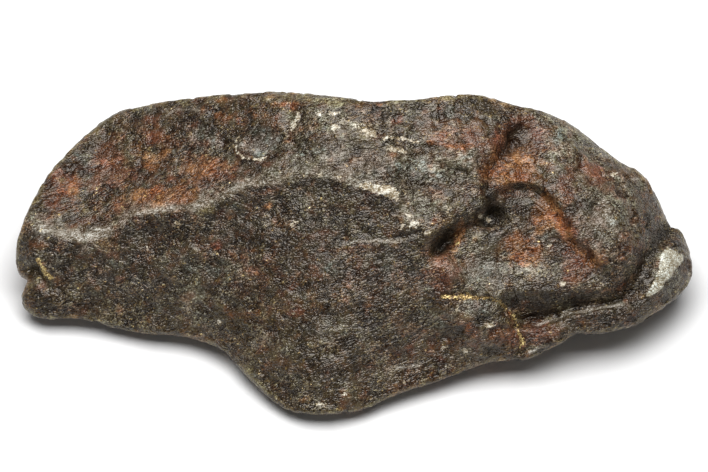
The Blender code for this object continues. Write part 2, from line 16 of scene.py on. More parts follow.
import bpy
import numpy as np
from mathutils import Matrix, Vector


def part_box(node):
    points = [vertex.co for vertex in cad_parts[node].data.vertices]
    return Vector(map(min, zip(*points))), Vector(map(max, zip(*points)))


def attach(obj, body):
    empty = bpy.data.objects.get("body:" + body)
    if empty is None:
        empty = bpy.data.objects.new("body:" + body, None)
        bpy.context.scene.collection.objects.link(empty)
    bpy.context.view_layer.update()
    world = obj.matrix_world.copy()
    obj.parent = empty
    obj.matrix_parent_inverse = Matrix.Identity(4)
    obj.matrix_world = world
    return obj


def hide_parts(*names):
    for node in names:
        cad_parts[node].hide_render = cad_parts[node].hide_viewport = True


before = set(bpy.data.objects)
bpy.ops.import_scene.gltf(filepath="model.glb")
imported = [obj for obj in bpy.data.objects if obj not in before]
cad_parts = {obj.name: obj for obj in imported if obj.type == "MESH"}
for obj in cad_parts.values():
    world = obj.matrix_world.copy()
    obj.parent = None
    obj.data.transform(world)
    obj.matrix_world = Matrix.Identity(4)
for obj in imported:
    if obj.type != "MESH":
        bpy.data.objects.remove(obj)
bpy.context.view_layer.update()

Pair = tuple[float, float]
Triple = tuple[float, float, float]
Array = np.ndarray
Socket = bpy.types.NodeSocket
Value = Socket | float | Triple

MM = 0.001
TINY = 1e-9
WHITE: Triple = (1.0, 1.0, 1.0)
NODE = "iron_meteorite"
BODY = "root"
RELIEF_LAYER = "relief"
LOG = logging.getLogger(NODE)


class Mark(Enum):
    """Kinds of mark on the iron, some its own colour and some painted shade and painted highlights. Each is
    one layer of the mesh, named by its value.
    """

    # Painted shade, partly darker olive patina.
    SHADE = "dark_olive"
    # Pale patina, partly painted highlights on faces that catch the light.
    PALE = "pale_patina_and_sheen"
    # Blue-grey patina, partly painted sheen.
    BLUE_PATINA_AND_SHEEN = "blue_grey_patina_and_sheen"
    RUST = "red_rust"
    ORANGE = "orange_rust"
    TAN = "tan_crust"
    # Painted highlights with some wear: light grey along the crest, ledges and edges that catch the light.
    SHEEN_AND_WEAR = "painted_sheen_and_wear"
    CHALK = "white_crust"
    BRASS = "brass_line"
    SCAR = "bare_scar"
    # Painted shade: near-black laid in holes, grooves, the recess under the arch and other dark patches.
    HOLLOW_SHADE = "painted_hollow_shade"


def smooth_step(x: Array) -> Array:
    """0 below 0, 1 above 1 and the S curve 3x^2 - 2x^3 between."""
    x = np.clip(x, 0, 1)
    return x * x * (3 - 2 * x)


def bell(x: Array, width: float) -> Array:
    """1 at 0, falling on both sides as exp(-(x / width)^2)."""
    return np.exp(-((x / width) ** 2))


def soft_max(a: Array, b: Array, rounding: float) -> Array:
    """The larger of two heights: their mean plus half a hyperbola of their difference."""
    return 0.5 * (a + b + np.sqrt((a - b) ** 2 + rounding**2))


def soft_min(a: Array, b: Array, rounding: float) -> Array:
    """The smaller of two heights, with the corner between them rounded."""
    return -soft_max(-a, -b, rounding)


@dataclass(frozen=True)
class Profile:
    """A smooth line y(x) through a few points, with x rising."""

    points: tuple[Pair, ...]

    def at(self, x: Array) -> Array:
        """Read the line.

        Between two points it is the cubic that has their heights and, at each, the slope that
        its neighbours give. Past either end it stays level.

        Args:
            x: places to read it at.

        Returns:
            The line's height at each place.
        """
        knots, heights = np.array(self.points, float).T
        slopes = np.gradient(heights, knots)
        x = np.clip(x, knots[0], knots[-1])
        i = np.clip(np.searchsorted(knots, x) - 1, 0, len(knots) - 2)
        gap = knots[i + 1] - knots[i]
        t = (x - knots[i]) / gap
        start = (1 + 2 * t) * (1 - t) ** 2 * heights[i] + t * (1 - t) ** 2 * gap * slopes[i]
        end = t * t * (3 - 2 * t) * heights[i + 1] - t * t * (1 - t) * gap * slopes[i + 1]
        return start + end


@dataclass(frozen=True)
class Trail:
    """A smooth curve through a few points of the plane."""

    points: tuple[Pair, ...]
    steps_per_point: int = 4
    fine_per_point: int = 40

    def places(self, shares: Array) -> Array:
        """Points along the curve, at the given shares of its length.

        Each coordinate is a smooth profile over a knot line whose gaps are the square roots of
        the points' distances, which keeps the curve from swinging out at close points.

        Args:
            shares: shares of the length, from 0 to 1.

        Returns:
            One (u, v) row for each share.
        """
        points = np.array(self.points, float)
        gaps = np.sqrt(np.hypot(*np.diff(points, axis=0).T))
        knots = np.concatenate([[0], np.cumsum(gaps)])
        fine = np.linspace(0, knots[-1], self.fine_per_point * len(points))
        curve = np.stack([Profile(tuple(zip(knots, axis))).at(fine) for axis in points.T], 1)
        run = np.concatenate([[0], np.cumsum(np.hypot(*np.diff(curve, axis=0).T))])
        return np.stack([np.interp(shares * run[-1], run, axis) for axis in curve.T], 1)

    def follow(self, u: Array, v: Array) -> tuple[Array, Array, Array]:
        """Place points against the curve.

        Args:
            u: places to the right.
            v: places up the picture.

        Returns:
            Distance from the curve, the same with its sign (positive on the left of the run),
            and the share of the length passed at the nearest place.
        """
        shares = np.linspace(0, 1, self.steps_per_point * len(self.points))
        return against(self.places(shares), u, v)


def against(path: Array, u: Array, v: Array) -> tuple[Array, Array, Array]:
    """Distance, signed distance and share passed of points against a chain of straight steps.

    Args:
        path: the chain's points, one (u, v) row each.
        u: places to the right.
        v: places up the picture.

    Returns:
        Distance, signed distance and share passed.
    """
    steps = np.diff(path, axis=0)
    lengths = np.hypot(*steps.T)
    run = np.concatenate([[0], np.cumsum(lengths)])
    best = np.full(np.shape(u), np.inf)
    side = np.zeros(np.shape(u))
    passed = np.zeros(np.shape(u))
    for start, step, length, before in zip(path, steps, lengths, run):
        du = u - start[0]
        dv = v - start[1]
        t = np.clip((du * step[0] + dv * step[1]) / length**2, 0, 1)
        distance = np.hypot(du - t * step[0], dv - t * step[1])
        closer = distance < best
        best = np.where(closer, distance, best)
        side = np.where(closer, np.sign(step[0] * dv - step[1] * du), side)
        passed = np.where(closer, (before + t * length) / run[-1], passed)
    return best, best * side, passed


def fade_ends(passed: Array, share: float) -> Array:
    """1 along a trail, falling to 0 over the given share of it at both ends."""
    return smooth_step(passed / share) * smooth_step((1 - passed) / share)


@dataclass(frozen=True)
class Lump:
    """An oval swelling, a hollow where its height is negative, or a patch of a mark."""

    height: float
    centre: Pair
    radii: Pair
    turn: float = 0.0
    flatness: float = 1.0

    def at(self, u: Array, v: Array) -> Array:
        """Height exp(-(p^2 + q^2)^flatness), with p and q the turned distances over the radii.

        Args:
            u: places to the right.
            v: places up the picture.

        Returns:
            The oval's height at each place.
        """
        angle = math.radians(self.turn)
        du = u - self.centre[0]
        dv = v - self.centre[1]
        p = (du * math.cos(angle) + dv * math.sin(angle)) / self.radii[0]
        q = (dv * math.cos(angle) - du * math.sin(angle)) / self.radii[1]
        return self.height * np.exp(-((p * p + q * q) ** self.flatness))


@dataclass(frozen=True)
class Streak:
    """A line of even width along a trail: a groove, a raised line, or a line of a mark."""

    height: float
    half_width: float
    points: tuple[Pair, ...]
    end_height: float | None = None
    run_out: float = 0.12

    def at(self, u: Array, v: Array) -> Array:
        """Height times a bell across the trail, easing to end_height and fading at both ends.

        Args:
            u: places to the right.
            v: places up the picture.

        Returns:
            The line's height at each place.
        """
        distance, _, passed = Trail(self.points).follow(u, v)
        end = self.height if self.end_height is None else self.end_height
        height = self.height + (end - self.height) * smooth_step(passed)
        return height * bell(distance, self.half_width) * fade_ends(passed, self.run_out)


Forms = tuple[Lump | Streak, ...]


@dataclass(frozen=True)
class Region:
    """A closed area of the plane with a soft edge."""

    ring: tuple[Pair, ...]
    edge: float
    steps_per_point: int = 3

    def at(self, u: Array, v: Array) -> Array:
        """1 inside and 0 outside, changing over the edge's width.

        Args:
            u: places to the right.
            v: places up the picture.

        Returns:
            The share that each place belongs to the region.
        """
        closed = Trail(self.ring + self.ring[:1])
        ring = closed.places(np.linspace(0, 1, self.steps_per_point * len(self.ring)))
        within = np.zeros(np.shape(u), bool)
        for (u0, v0), (u1, v1) in zip(ring[:-1], ring[1:]):
            rise = v1 - v0 if v1 != v0 else TINY
            within ^= ((v0 > v) != (v1 > v)) & (u < (u1 - u0) * (v - v0) / rise + u0)
        distance = against(ring, u, v)[0]
        return smooth_step(0.5 + np.where(within, distance, -distance) / self.edge)


def total(forms: Forms, u: Array, v: Array) -> Array:
    """Sum of the forms' heights at the places (u, v)."""
    return sum((form.at(u, v) for form in forms), np.zeros(np.shape(u)))


@dataclass(frozen=True)
class Swells:
    """Smooth random swells in space, the same on each run.

    Each corner of a cubic lattice has a slope of random direction, and the planes of the eight
    corners round a place are blended there by the S curve 6t^5 - 15t^4 + 10t^3. A corner's place
    and the seed are mixed into one random word, whose low half turns the slope round the z axis
    and whose high half raises it.
    """

    size: float
    seed: int
    axes: tuple[int, int, int] = (73856093, 19349663, 83492791)
    seed_step: int = 2654435761
    shifts: tuple[int, int] = (15, 13)
    mixers: tuple[int, int] = (2246822519, 3266489917)
    bits: int = 32
    gain: float = 1.6

    def at(self, points: Array) -> Array:
        """Height of the swells, between about -1 and 1.

        Args:
            points: places in millimetres, with x, y and z last.

        Returns:
            One height for each place.
        """
        spot = points / self.size
        cell = np.floor(spot).astype(np.int64)
        part = spot - cell
        blend = part * part * part * (part * (part * 6 - 15) + 10)
        word = 2**self.bits - 1
        half = 2 ** (self.bits // 2)
        height = np.zeros(points.shape[:-1])
        for corner in np.ndindex(2, 2, 2):
            mixed = np.bitwise_xor.reduce((cell + corner) * self.axes, -1)
            mixed = (mixed + self.seed * self.seed_step) & word
            for shift, mixer in zip(self.shifts, self.mixers):
                mixed = ((mixed ^ (mixed >> shift)) * mixer) & word
            turn = mixed % half / half * 2 * math.pi
            rise = mixed // half / (half / 2) - 1
            flat = np.sqrt(1 - rise * rise)
            away = part - corner
            plane = (away[..., 0] * np.cos(turn) + away[..., 1] * np.sin(turn)) * flat
            plane += away[..., 2] * rise
            height += np.where(corner, blend, 1 - blend).prod(-1) * plane
        return self.gain * height


@dataclass(frozen=True)
class Viewpoint:
    """The steep viewpoint that the picture plane faces."""

    elevation: float = math.radians(55)
    middle_height: float = 20.0

    def to_stone(self, u: Array, v: Array, w: Array) -> Array:
        """The stone's own x, y and z of picture-plane places, by one turn about the x axis.

        Args:
            u: places to the right.
            v: places up the picture.
            w: places towards the viewer.

        Returns:
            One row of x, y and z for each place.
        """
        sin, cos = math.sin(self.elevation), math.cos(self.elevation)
        return np.stack([u, v * sin - w * cos, self.middle_height + v * cos + w * sin], -1)

    def directions(self) -> tuple[Vector, Vector]:
        """Unit vectors up the picture and towards the viewer."""
        sin, cos = math.sin(self.elevation), math.cos(self.elevation)
        return Vector((0, sin, cos)), Vector((0, -cos, sin))


@dataclass(frozen=True)
class Outline:
    """The stone's outline from the viewpoint, as four sides of (u, v), and the grid inside it."""

    left: tuple[Pair, ...] = (
        (-63.0, -13.8), (-65.5, -13.5), (-67.6, -12.4), (-68.7, -11.2), (-69.2, -9.1),
        (-68.7, -7.5), (-67.9, -5.8), (-69.1, -5.0), (-69.9, -3.7), (-70.4, -1.2), (-70.3, 1.2),
        (-69.6, 3.7), (-68.3, 7.5), (-66.6, 11.2), (-63.9, 16.2),
    )
    top: tuple[Pair, ...] = (
        (-63.9, 16.2), (-60.6, 19.9), (-55.6, 24.9), (-50.8, 28.6), (-48.1, 29.7), (-43.1, 30.8),
        (-33.2, 32.4), (-20.7, 33.3), (-15.8, 33.5), (-10.8, 33.2), (-0.8, 32.0), (4.1, 31.4),
        (9.1, 31.6), (19.1, 32.5), (24.1, 32.8), (29.0, 32.0), (34.0, 30.4), (39.0, 29.5),
        (44.0, 27.3), (48.9, 24.0), (53.9, 19.8), (58.9, 17.1), (61.4, 14.9),
    )
    right: tuple[Pair, ...] = (
        (61.4, -13.2), (63.9, -11.7), (67.4, -8.9), (69.4, -6.6), (70.2, -4.6), (70.3, -2.6),
        (69.5, 1.2), (68.8, 3.3), (67.5, 4.8), (66.3, 5.0), (65.3, 6.3), (63.9, 10.0),
        (61.4, 14.9),
    )
    bottom: tuple[Pair, ...] = (
        (-63.0, -13.8), (-58.1, -13.7), (-53.1, -14.5), (-48.1, -16.1), (-40.7, -17.0),
        (-35.7, -17.4), (-30.7, -18.8), (-27.6, -19.9), (-25.7, -21.8), (-20.7, -27.2),
        (-18.3, -29.6), (-15.8, -31.4), (-13.3, -32.7), (-8.3, -33.5), (-3.3, -33.4),
        (1.7, -32.6), (6.6, -30.3), (11.6, -28.4), (16.6, -26.9), (21.6, -25.0), (26.5, -23.2),
        (31.5, -22.3), (35.7, -22.3), (40.7, -19.9), (43.3, -18.7), (45.0, -17.4), (46.5, -16.6),
        (48.9, -17.0), (51.4, -16.7), (54.5, -16.1), (58.5, -14.9), (61.4, -13.2),
    )
    along: int = 316
    across: int = 157
    crowding: float = 0.02
    rim_step: int = 4

    def shares(self, count: int) -> Array:
        """Shares from 0 to 1 whose steps grow evenly from nothing over a crowded start and end.

        Args:
            count: how many shares.

        Returns:
            The shares, rising.
        """
        t = np.linspace(0, 1, count)
        off = np.minimum(t, 1 - t)
        eased = np.where(off < self.crowding, off**2 / (2 * self.crowding), off - self.crowding / 2)
        eased = eased / (1 - self.crowding)
        return np.where(t < 0.5, eased, 1 - eased)

    def grid(self) -> Array:
        """Points that fill the outline.

        Each is the blend across plus the blend along, less the blend of the four corners.

        Returns:
            An along by across grid of (u, v).
        """
        s = self.shares(self.along)
        t = self.shares(self.across)
        bottom = Trail(self.bottom).places(s)[:, None]
        top = Trail(self.top).places(s)[:, None]
        left = Trail(self.left).places(t)[None]
        right = Trail(self.right).places(t)[None]
        s = s[:, None, None]
        t = t[None, :, None]
        low = (1 - s) * bottom[0] + s * bottom[-1]
        high = (1 - s) * top[0] + s * top[-1]
        return (1 - t) * (bottom - low) + t * (top - high) + (1 - s) * left + s * right

    def rim_distance(self, grid: Array) -> Array:
        """Distance of each grid point from the outline, exactly 0 on it.

        Args:
            grid: the outline's grid of (u, v).

        Returns:
            One distance for each grid point.
        """
        ring = np.concatenate([grid[:, 0], grid[-1, 1:], grid[-2::-1, -1], grid[0, -2::-1]])
        distance = against(ring[:: self.rim_step], grid[..., 0], grid[..., 1])[0]
        distance[[0, -1]] = 0
        distance[:, [0, -1]] = 0
        return distance


@dataclass(frozen=True)
class Ridge:
    """The main ridge: its run (u, v), its height and the falls above and below it (u, value)."""

    run: Profile = Profile((
        (-72, 6.5), (-67, 5.3), (-64.7, 4.6), (-60.4, 2.7), (-53.3, 2.3), (-49.2, 4.1),
        (-45.8, 7.5), (-40.9, 8.7), (-34.6, 9.3), (-29.2, 10.6), (-25.1, 12.4), (-19.5, 14.1),
        (-14.7, 14.9), (-7.1, 16.0), (-2.3, 15.1), (1.9, 13.7), (5.4, 13.0), (8.1, 11.9),
        (10.4, 7.8), (14.2, 3.6), (20, 6.0), (26, 8.0), (38, 8), (50, 3), (60, -1), (72, -6),
    ))
    calm_run: Profile = Profile((
        (-72, 5), (-55, 4), (-35, 9.5), (-10, 15), (10, 10), (26, 8), (38, 8), (50, 3), (60, -1),
        (72, -6),
    ))
    crest: Profile = Profile((
        (-72, -10.5), (-66, -8.0), (-52, -4.8), (-30, 1.0), (-8, 5.9), (8, 7.2), (16, 6.8),
        (26, 5.5), (38, 4.0), (50, 3.4), (58, 0.6), (64, -4), (72, -11),
    ))
    fall_above: Profile = Profile((
        (-72, 0.52), (-62, 0.62), (-30, 0.55), (-16, 0.46), (-4, 0.31), (14, 0.28), (26, 0.42),
        (38, 0.5), (50, 0.68), (60, 0.8), (72, 0.9),
    ))
    fall_below: Profile = Profile((
        (-72, 0.18), (-60, 0.18), (-52, 0.24), (-40, 0.23), (-30, 0.21), (-20, 0.09), (-8, 0.04),
        (10, 0.15), (26, 0.23), (38, 0.22), (50, 0.40), (60, 0.5), (72, 0.5),
    ))
    rounding: Profile = Profile((
        (-72, 3.0), (-56, 2.2), (-48, 1.6), (-30, 1.2), (-8, 1.5), (8, 1.6), (14, 1.5), (20, 3.0),
        (30, 6), (50, 10), (72, 6),
    ))
    wave_reach: float = 9.0

    def at(self, u: Array, v: Array) -> Array:
        """Crest height less each side's fall times the distance, with a hyperbola at the crest.

        Args:
            u: places to the right.
            v: places up the picture.

        Returns:
            w of the ridge at each place.
        """
        calm = self.calm_run.at(u)
        wave = (self.run.at(u) - calm) * bell(v - calm, self.wave_reach)
        off = v - calm - wave
        above = self.fall_above.at(u)
        below = self.fall_below.at(u)
        rounding = self.rounding.at(u)
        bend = np.sqrt(off * off + rounding * rounding) - rounding
        return self.crest.at(u) + 0.5 * (below - above) * off - 0.5 * (above + below) * bend


@dataclass(frozen=True)
class Block:
    """The hollow at the right, and the block that lies sunk in it."""

    hollow: Region = Region((
        (28.2, 11.0), (30.5, 13.1), (34.2, 13.9), (37.7, 13.5), (41.5, 10.2), (43.8, 6.4),
        (45.2, 2.7), (48.9, 0.6), (50.8, -2.7), (55, -6.5), (54.5, -10.5), (51, -11.4),
        (45.2, -12.3), (42.3, -13.5), (36.5, -15.4), (33.5, -14.5), (31.3, -11.6), (28.2, -9.7),
        (24.5, -8.3), (21.5, -5.5), (19.8, -1.0), (20.3, 3.2), (24.1, 5.6), (27.4, 8.0),
    ), edge=2.0)
    depth: float = 2.6
    rounding: float = 1.8
    level: float = 3.2
    top_fall: float = 0.34
    top_from: float = -7.2
    face_fall: float = 0.9
    face_from: float = -8.2
    face_starts: float = 31.5
    tilt: float = 0.05
    tilt_from: float = 38.0
    end_tilt: float = 0.10
    end_from: float = 42.0
    corner: float = 0.7
    swell: Lump = Lump(0.7, (46, -3.5), (5, 3), -10)

    def sink(self, u: Array, v: Array, w: Array) -> Array:
        """Let the block into the surface.

        Its top is a sloping plane, no deeper than the hollow's depth, and its front face a
        steeper plane. The lower of the two replaces the surface inside the hollow.

        Args:
            u: places to the right.
            v: places up the picture.
            w: the surface before.

        Returns:
            The surface with the block in it.
        """
        tilt = self.tilt * (u - self.tilt_from) + self.end_tilt * np.maximum(u - self.end_from, 0)
        top = self.level - self.top_fall * (v - self.top_from) - tilt + self.swell.at(u, v)
        top = soft_max(top, w - self.depth, self.rounding)
        forward = v - self.face_from + np.maximum(self.face_starts - u, 0)
        face = self.level - tilt + self.face_fall * forward
        return w + self.hollow.at(u, v) * (soft_min(top, face, self.corner) - w)


@dataclass(frozen=True)
class Lip:
    """The groove and raised lip round the right end. Pairs are values at the side and the foot."""

    groove: Trail = Trail((
        (66.6, 6.2), (65.7, 5.0), (63.5, 2.7), (61.0, -0.8), (59.1, -4.6), (56.6, -8.6),
        (51.0, -11.2), (45.2, -12.0), (42.3, -13.3), (35.7, -15.6),
    ))
    turn: Pair = (0.42, 0.62)
    depth: Pair = (2.2, 0.3)
    half_width: float = 1.9
    rise: Pair = (1.5, 0.45)
    crest: Pair = (5.0, 1.6)
    reach: float = 5.0
    run_out: float = 0.07

    def at(self, u: Array, v: Array) -> Array:
        """A bell-shaped groove, and outside it a step up to the crest that dies away slowly.

        Args:
            u: places to the right.
            v: places up the picture.

        Returns:
            Height that the groove and lip add at each place.
        """
        distance, side, passed = self.groove.follow(u, v)
        low = smooth_step((passed - self.turn[0]) / (self.turn[1] - self.turn[0]))
        depth, rise, crest = (a + (b - a) * low for a, b in (self.depth, self.rise, self.crest))
        groove = depth * bell(distance, self.half_width)
        ledge = rise * smooth_step(side / crest) * bell(np.maximum(side - crest, 0), self.reach)
        return (ledge - groove) * fade_ends(passed, self.run_out)


@dataclass(frozen=True)
class Steps:
    """Thin ledges: the one at the spur's toe and the strips where the top edge turns back."""

    toe: Trail = Trail(((-1.0, 2.2), (5.0, 2.5), (10.0, 2.4), (15.1, 3.3)))
    toe_height: float = 0.3
    toe_edge: float = 0.8
    toe_reach: float = 4.0
    toe_run_out: float = 0.25
    rear: tuple[Trail, ...] = (
        Trail(((-22.0, 33.4), (-15.5, 31.7), (-6.0, 30.6), (1.0, 30.2), (8.5, 31.6))),
        Trail(((36.5, 30.0), (40.5, 27.2), (44.0, 23.8), (50.0, 19.2), (57.5, 16.6))),
    )
    rear_fall: float = 0.9
    rear_run_out: float = 0.15

    def at(self, u: Array, v: Array) -> Array:
        """The toe's tread, which fades away below it, less an even fall past each rear line.

        Args:
            u: places to the right.
            v: places up the picture.

        Returns:
            Height that the ledges add at each place.
        """
        _, side, passed = self.toe.follow(u, v)
        tread = smooth_step(0.5 - side / self.toe_edge) * bell(np.minimum(side, 0), self.toe_reach)
        w = self.toe_height * tread * fade_ends(passed, self.toe_run_out)
        for line in self.rear:
            _, side, passed = line.follow(u, v)
            w -= self.rear_fall * np.maximum(side, 0) * fade_ends(passed, self.rear_run_out)
        return w


@dataclass(frozen=True)
class NearSide:
    """Everything that shapes the side towards the viewer, in the order it is laid on."""

    ridge: Ridge = Ridge()
    steps: Steps = Steps()
    block: Block = Block()
    lip: Lip = Lip()
    faces: Forms = (
        # Dished upper left face
        Lump(-1.3, (-42, 19), (17, 8), 12),
        Lump(-0.5, (-60, 14), (5, 4), 45),
        Lump(0.4, (-33, 28), (9, 3), 5),
        # Oval pit with its raised rim, and the gully beside the spur
        Lump(-1.5, (-18.6, 22.6), (3.9, 3.0), 25, 2.5),
        Lump(0.45, (-18.8, 22.4), (5.2, 4.2), 25, 3),
        Lump(-0.45, (-18.6, 22.6), (4.1, 3.2), 25, 3),
        Streak(-0.8, 1.5, ((-12.8, 32.5), (-13.4, 28.0), (-13.6, 24.0), (-12.8, 20.5)), None, 0.4),
        # Front face
        Lump(-1.0, (-22, 8.5), (14, 4), 20),
        Lump(-0.7, (-45, 2.5), (7, 3.5), 15),
        Lump(0.9, (-33, -6), (14, 7), 10),
        Lump(0.8, (-2, -12), (18, 9), 8),
        Lump(-0.7, (10, -22), (8, 4), 18),
        Lump(0.6, (-8, -26), (8, 5)),
        # Spur, the hump behind its right end and the creases between them
        Lump(1.0, (-7, 24), (4.5, 7), -10),
        Lump(1.0, (6, 20), (10, 7), -20),
        Lump(-0.8, (11, 28.5), (7, 2.6), 5),
        Lump(1.1, (17.2, 8.9), (5.6, 4.6), 35, 1.4),
        Lump(2.6, (25.2, 21.2), (8.5, 9.5), 0, 1.4),
        Lump(-0.8, (17, 17.5), (7, 2.4), -35),
        Streak(-0.5, 1.0, ((16.0, 15.4), (19.4, 14.2), (21.8, 11.6), (22.3, 8.2)), None, 0.3),
        # Winding valley, its wide floor and the hole at its head
        Streak(
            -1.1, 1.5,
            ((34.6, 27.2), (32.8, 23.0), (29.7, 18.3), (28.0, 13.1), (28.2, 8.5), (24.1, 6.0),
             (20.3, 3.5), (17.8, 0.6), (15.8, -1.9)),
            -2.4,
        ),
        Lump(-1.5, (33.6, 17.3), (6.4, 5.0), 0, 1.5),
        Lump(-1.7, (33.8, 23.1), (4.8, 2.8), 40, 1.3),
        # Domed right end
        Lump(1.6, (51.5, 8.5), (8, 7.5), -30, 1.3),
        Lump(0.8, (57.0, 0.0), (4.5, 5), -30),
        Lump(1.0, (43.0, 17.5), (6, 5), -30),
    )
    details: Forms = (
        # Deepest holes, and the bulges beside and below the block
        Lump(-3.0, (28.9, 7.0), (3.1, 2.3), 15, 1.3),
        Lump(-0.9, (35.0, 9.5), (4.0, 2.8), -10, 1.3),
        Lump(-3.0, (18.6, 1.8), (3.4, 1.7), 48, 1.2),
        Lump(1.3, (20.6, -4.2), (2.7, 3.6), 5, 1.2),
        Lump(2.6, (26.3, -14.8), (6.6, 5.4), -20, 1.3),
        Lump(0.9, (18.5, -9.5), (5, 4)),
        # Crack below the block
        Streak(
            -0.6, 0.6,
            ((18.0, -8.9), (24.1, -8.5), (28.2, -9.7), (30.5, -10.4), (31.3, -12.2),
             (33.4, -15.6), (34.8, -18.0), (34.4, -20.5), (33.0, -22.4)),
            -0.9, 0.08,
        ),
        # Left end: two knobs, the hole beside them and the notch between
        Lump(1.2, (-67.0, -0.6), (3.2, 3.4)),
        Lump(1.2, (-66.2, -9.6), (4.0, 2.8)),
        Lump(-1.6, (-66.2, -3.4), (1.1, 1.0)),
        Streak(
            -1.3, 0.9, ((-71.5, -5.6), (-67.4, -5.6), (-65.6, -4.2), (-64.0, -6.8), (-62.4, -8.2)),
            None, 0.25,
        ),
    )

    def at(self, u: Array, v: Array) -> Array:
        """Height of the near side.

        Args:
            u: places to the right.
            v: places up the picture.

        Returns:
            w at each place.
        """
        w = self.ridge.at(u, v) + self.steps.at(u, v) + total(self.faces, u, v)
        w = self.block.sink(u, v, w)
        return w + total(self.details, u, v) + self.lip.at(u, v)


@dataclass(frozen=True)
class FarSide:
    """The back wall below its top edge and the belly, given over the stone's own planes."""

    wall_slack: float = 0.6
    undercut: float = 0.10
    undercut_below: float = 14.0
    wall: tuple[Lump, ...] = (
        Lump(1.2, (-20, 18), (30, 12)),
        Lump(-1.8, (-2, 24), (9, 7), 20, 1.5),
        Lump(-1.6, (22, 20), (8, 9), -15, 1.5),
        Lump(-1.4, (-38, 10), (9, 6), 10, 1.5),
        Lump(1.6, (10, 12), (7, 6), 0, 1.3),
        Lump(1.2, (42, 15), (9, 5), -20, 1.3),
        Lump(-1.2, (-18, 27), (6, 4), 0, 1.5),
    )
    belly_level: float = -2.6
    end_slope: float = 0.10
    end_from: float = 26.0
    end_blend: float = 2.0
    front_slope: float = 0.16
    front_from: float = 10.0
    front_blend: float = 1.5
    belly: tuple[Lump, ...] = (
        Lump(1.0, (-44, 12), (9, 7), 20, 1.3),
        Lump(1.0, (46, 6), (8, 6), 0, 1.3),
        Lump(-0.9, (-34, -6), (8, 5), 10),
        Lump(-0.9, (40, -8), (7, 5), -10),
        Lump(0.6, (2, 18), (10, 5), 0, 1.5),
    )
    rounding: float = 7.0
    passes: int = 3

    def underside(self, x: Array, y: Array) -> Array:
        """Height of the belly: level in the middle, with slopes that lift both ends and the front.

        Args:
            x: places to the right.
            y: places towards the back.

        Returns:
            z at each place.
        """
        z = np.full(np.shape(x), self.belly_level)
        z = soft_max(z, self.end_slope * (-x - self.end_from), self.end_blend)
        z = soft_max(z, self.end_slope * (x - self.end_from), self.end_blend)
        z = soft_max(z, self.front_slope * (-y - self.front_from), self.front_blend)
        return z + total(self.belly, x, y)

    def at(self, u: Array, v: Array, top_line: Array, view: Viewpoint) -> Array:
        """Height of the far side.

        The wall stands at y = top_line plus its bulges, the belly at its own z. Both are turned
        into w, a few passes settle where each lies, and the nearer of the two is kept.

        Args:
            u: places to the right.
            v: places up the picture.
            top_line: y of the stone's top edge at each u.
            view: the viewpoint.

        Returns:
            w at each place.
        """
        sin, cos = math.sin(view.elevation), math.cos(view.elevation)
        base = view.middle_height + v * cos
        line = top_line + self.wall_slack
        wall = (v * sin - line) / cos
        belly = -base / sin
        for _ in range(self.passes):
            z = base + wall * sin
            bulge = total(self.wall, u, z) - self.undercut * np.maximum(self.undercut_below - z, 0)
            wall = (v * sin - line - bulge) / cos
            belly = (self.underside(u, v * sin - belly * cos) - base) / sin
        return soft_max(wall, belly, self.rounding)


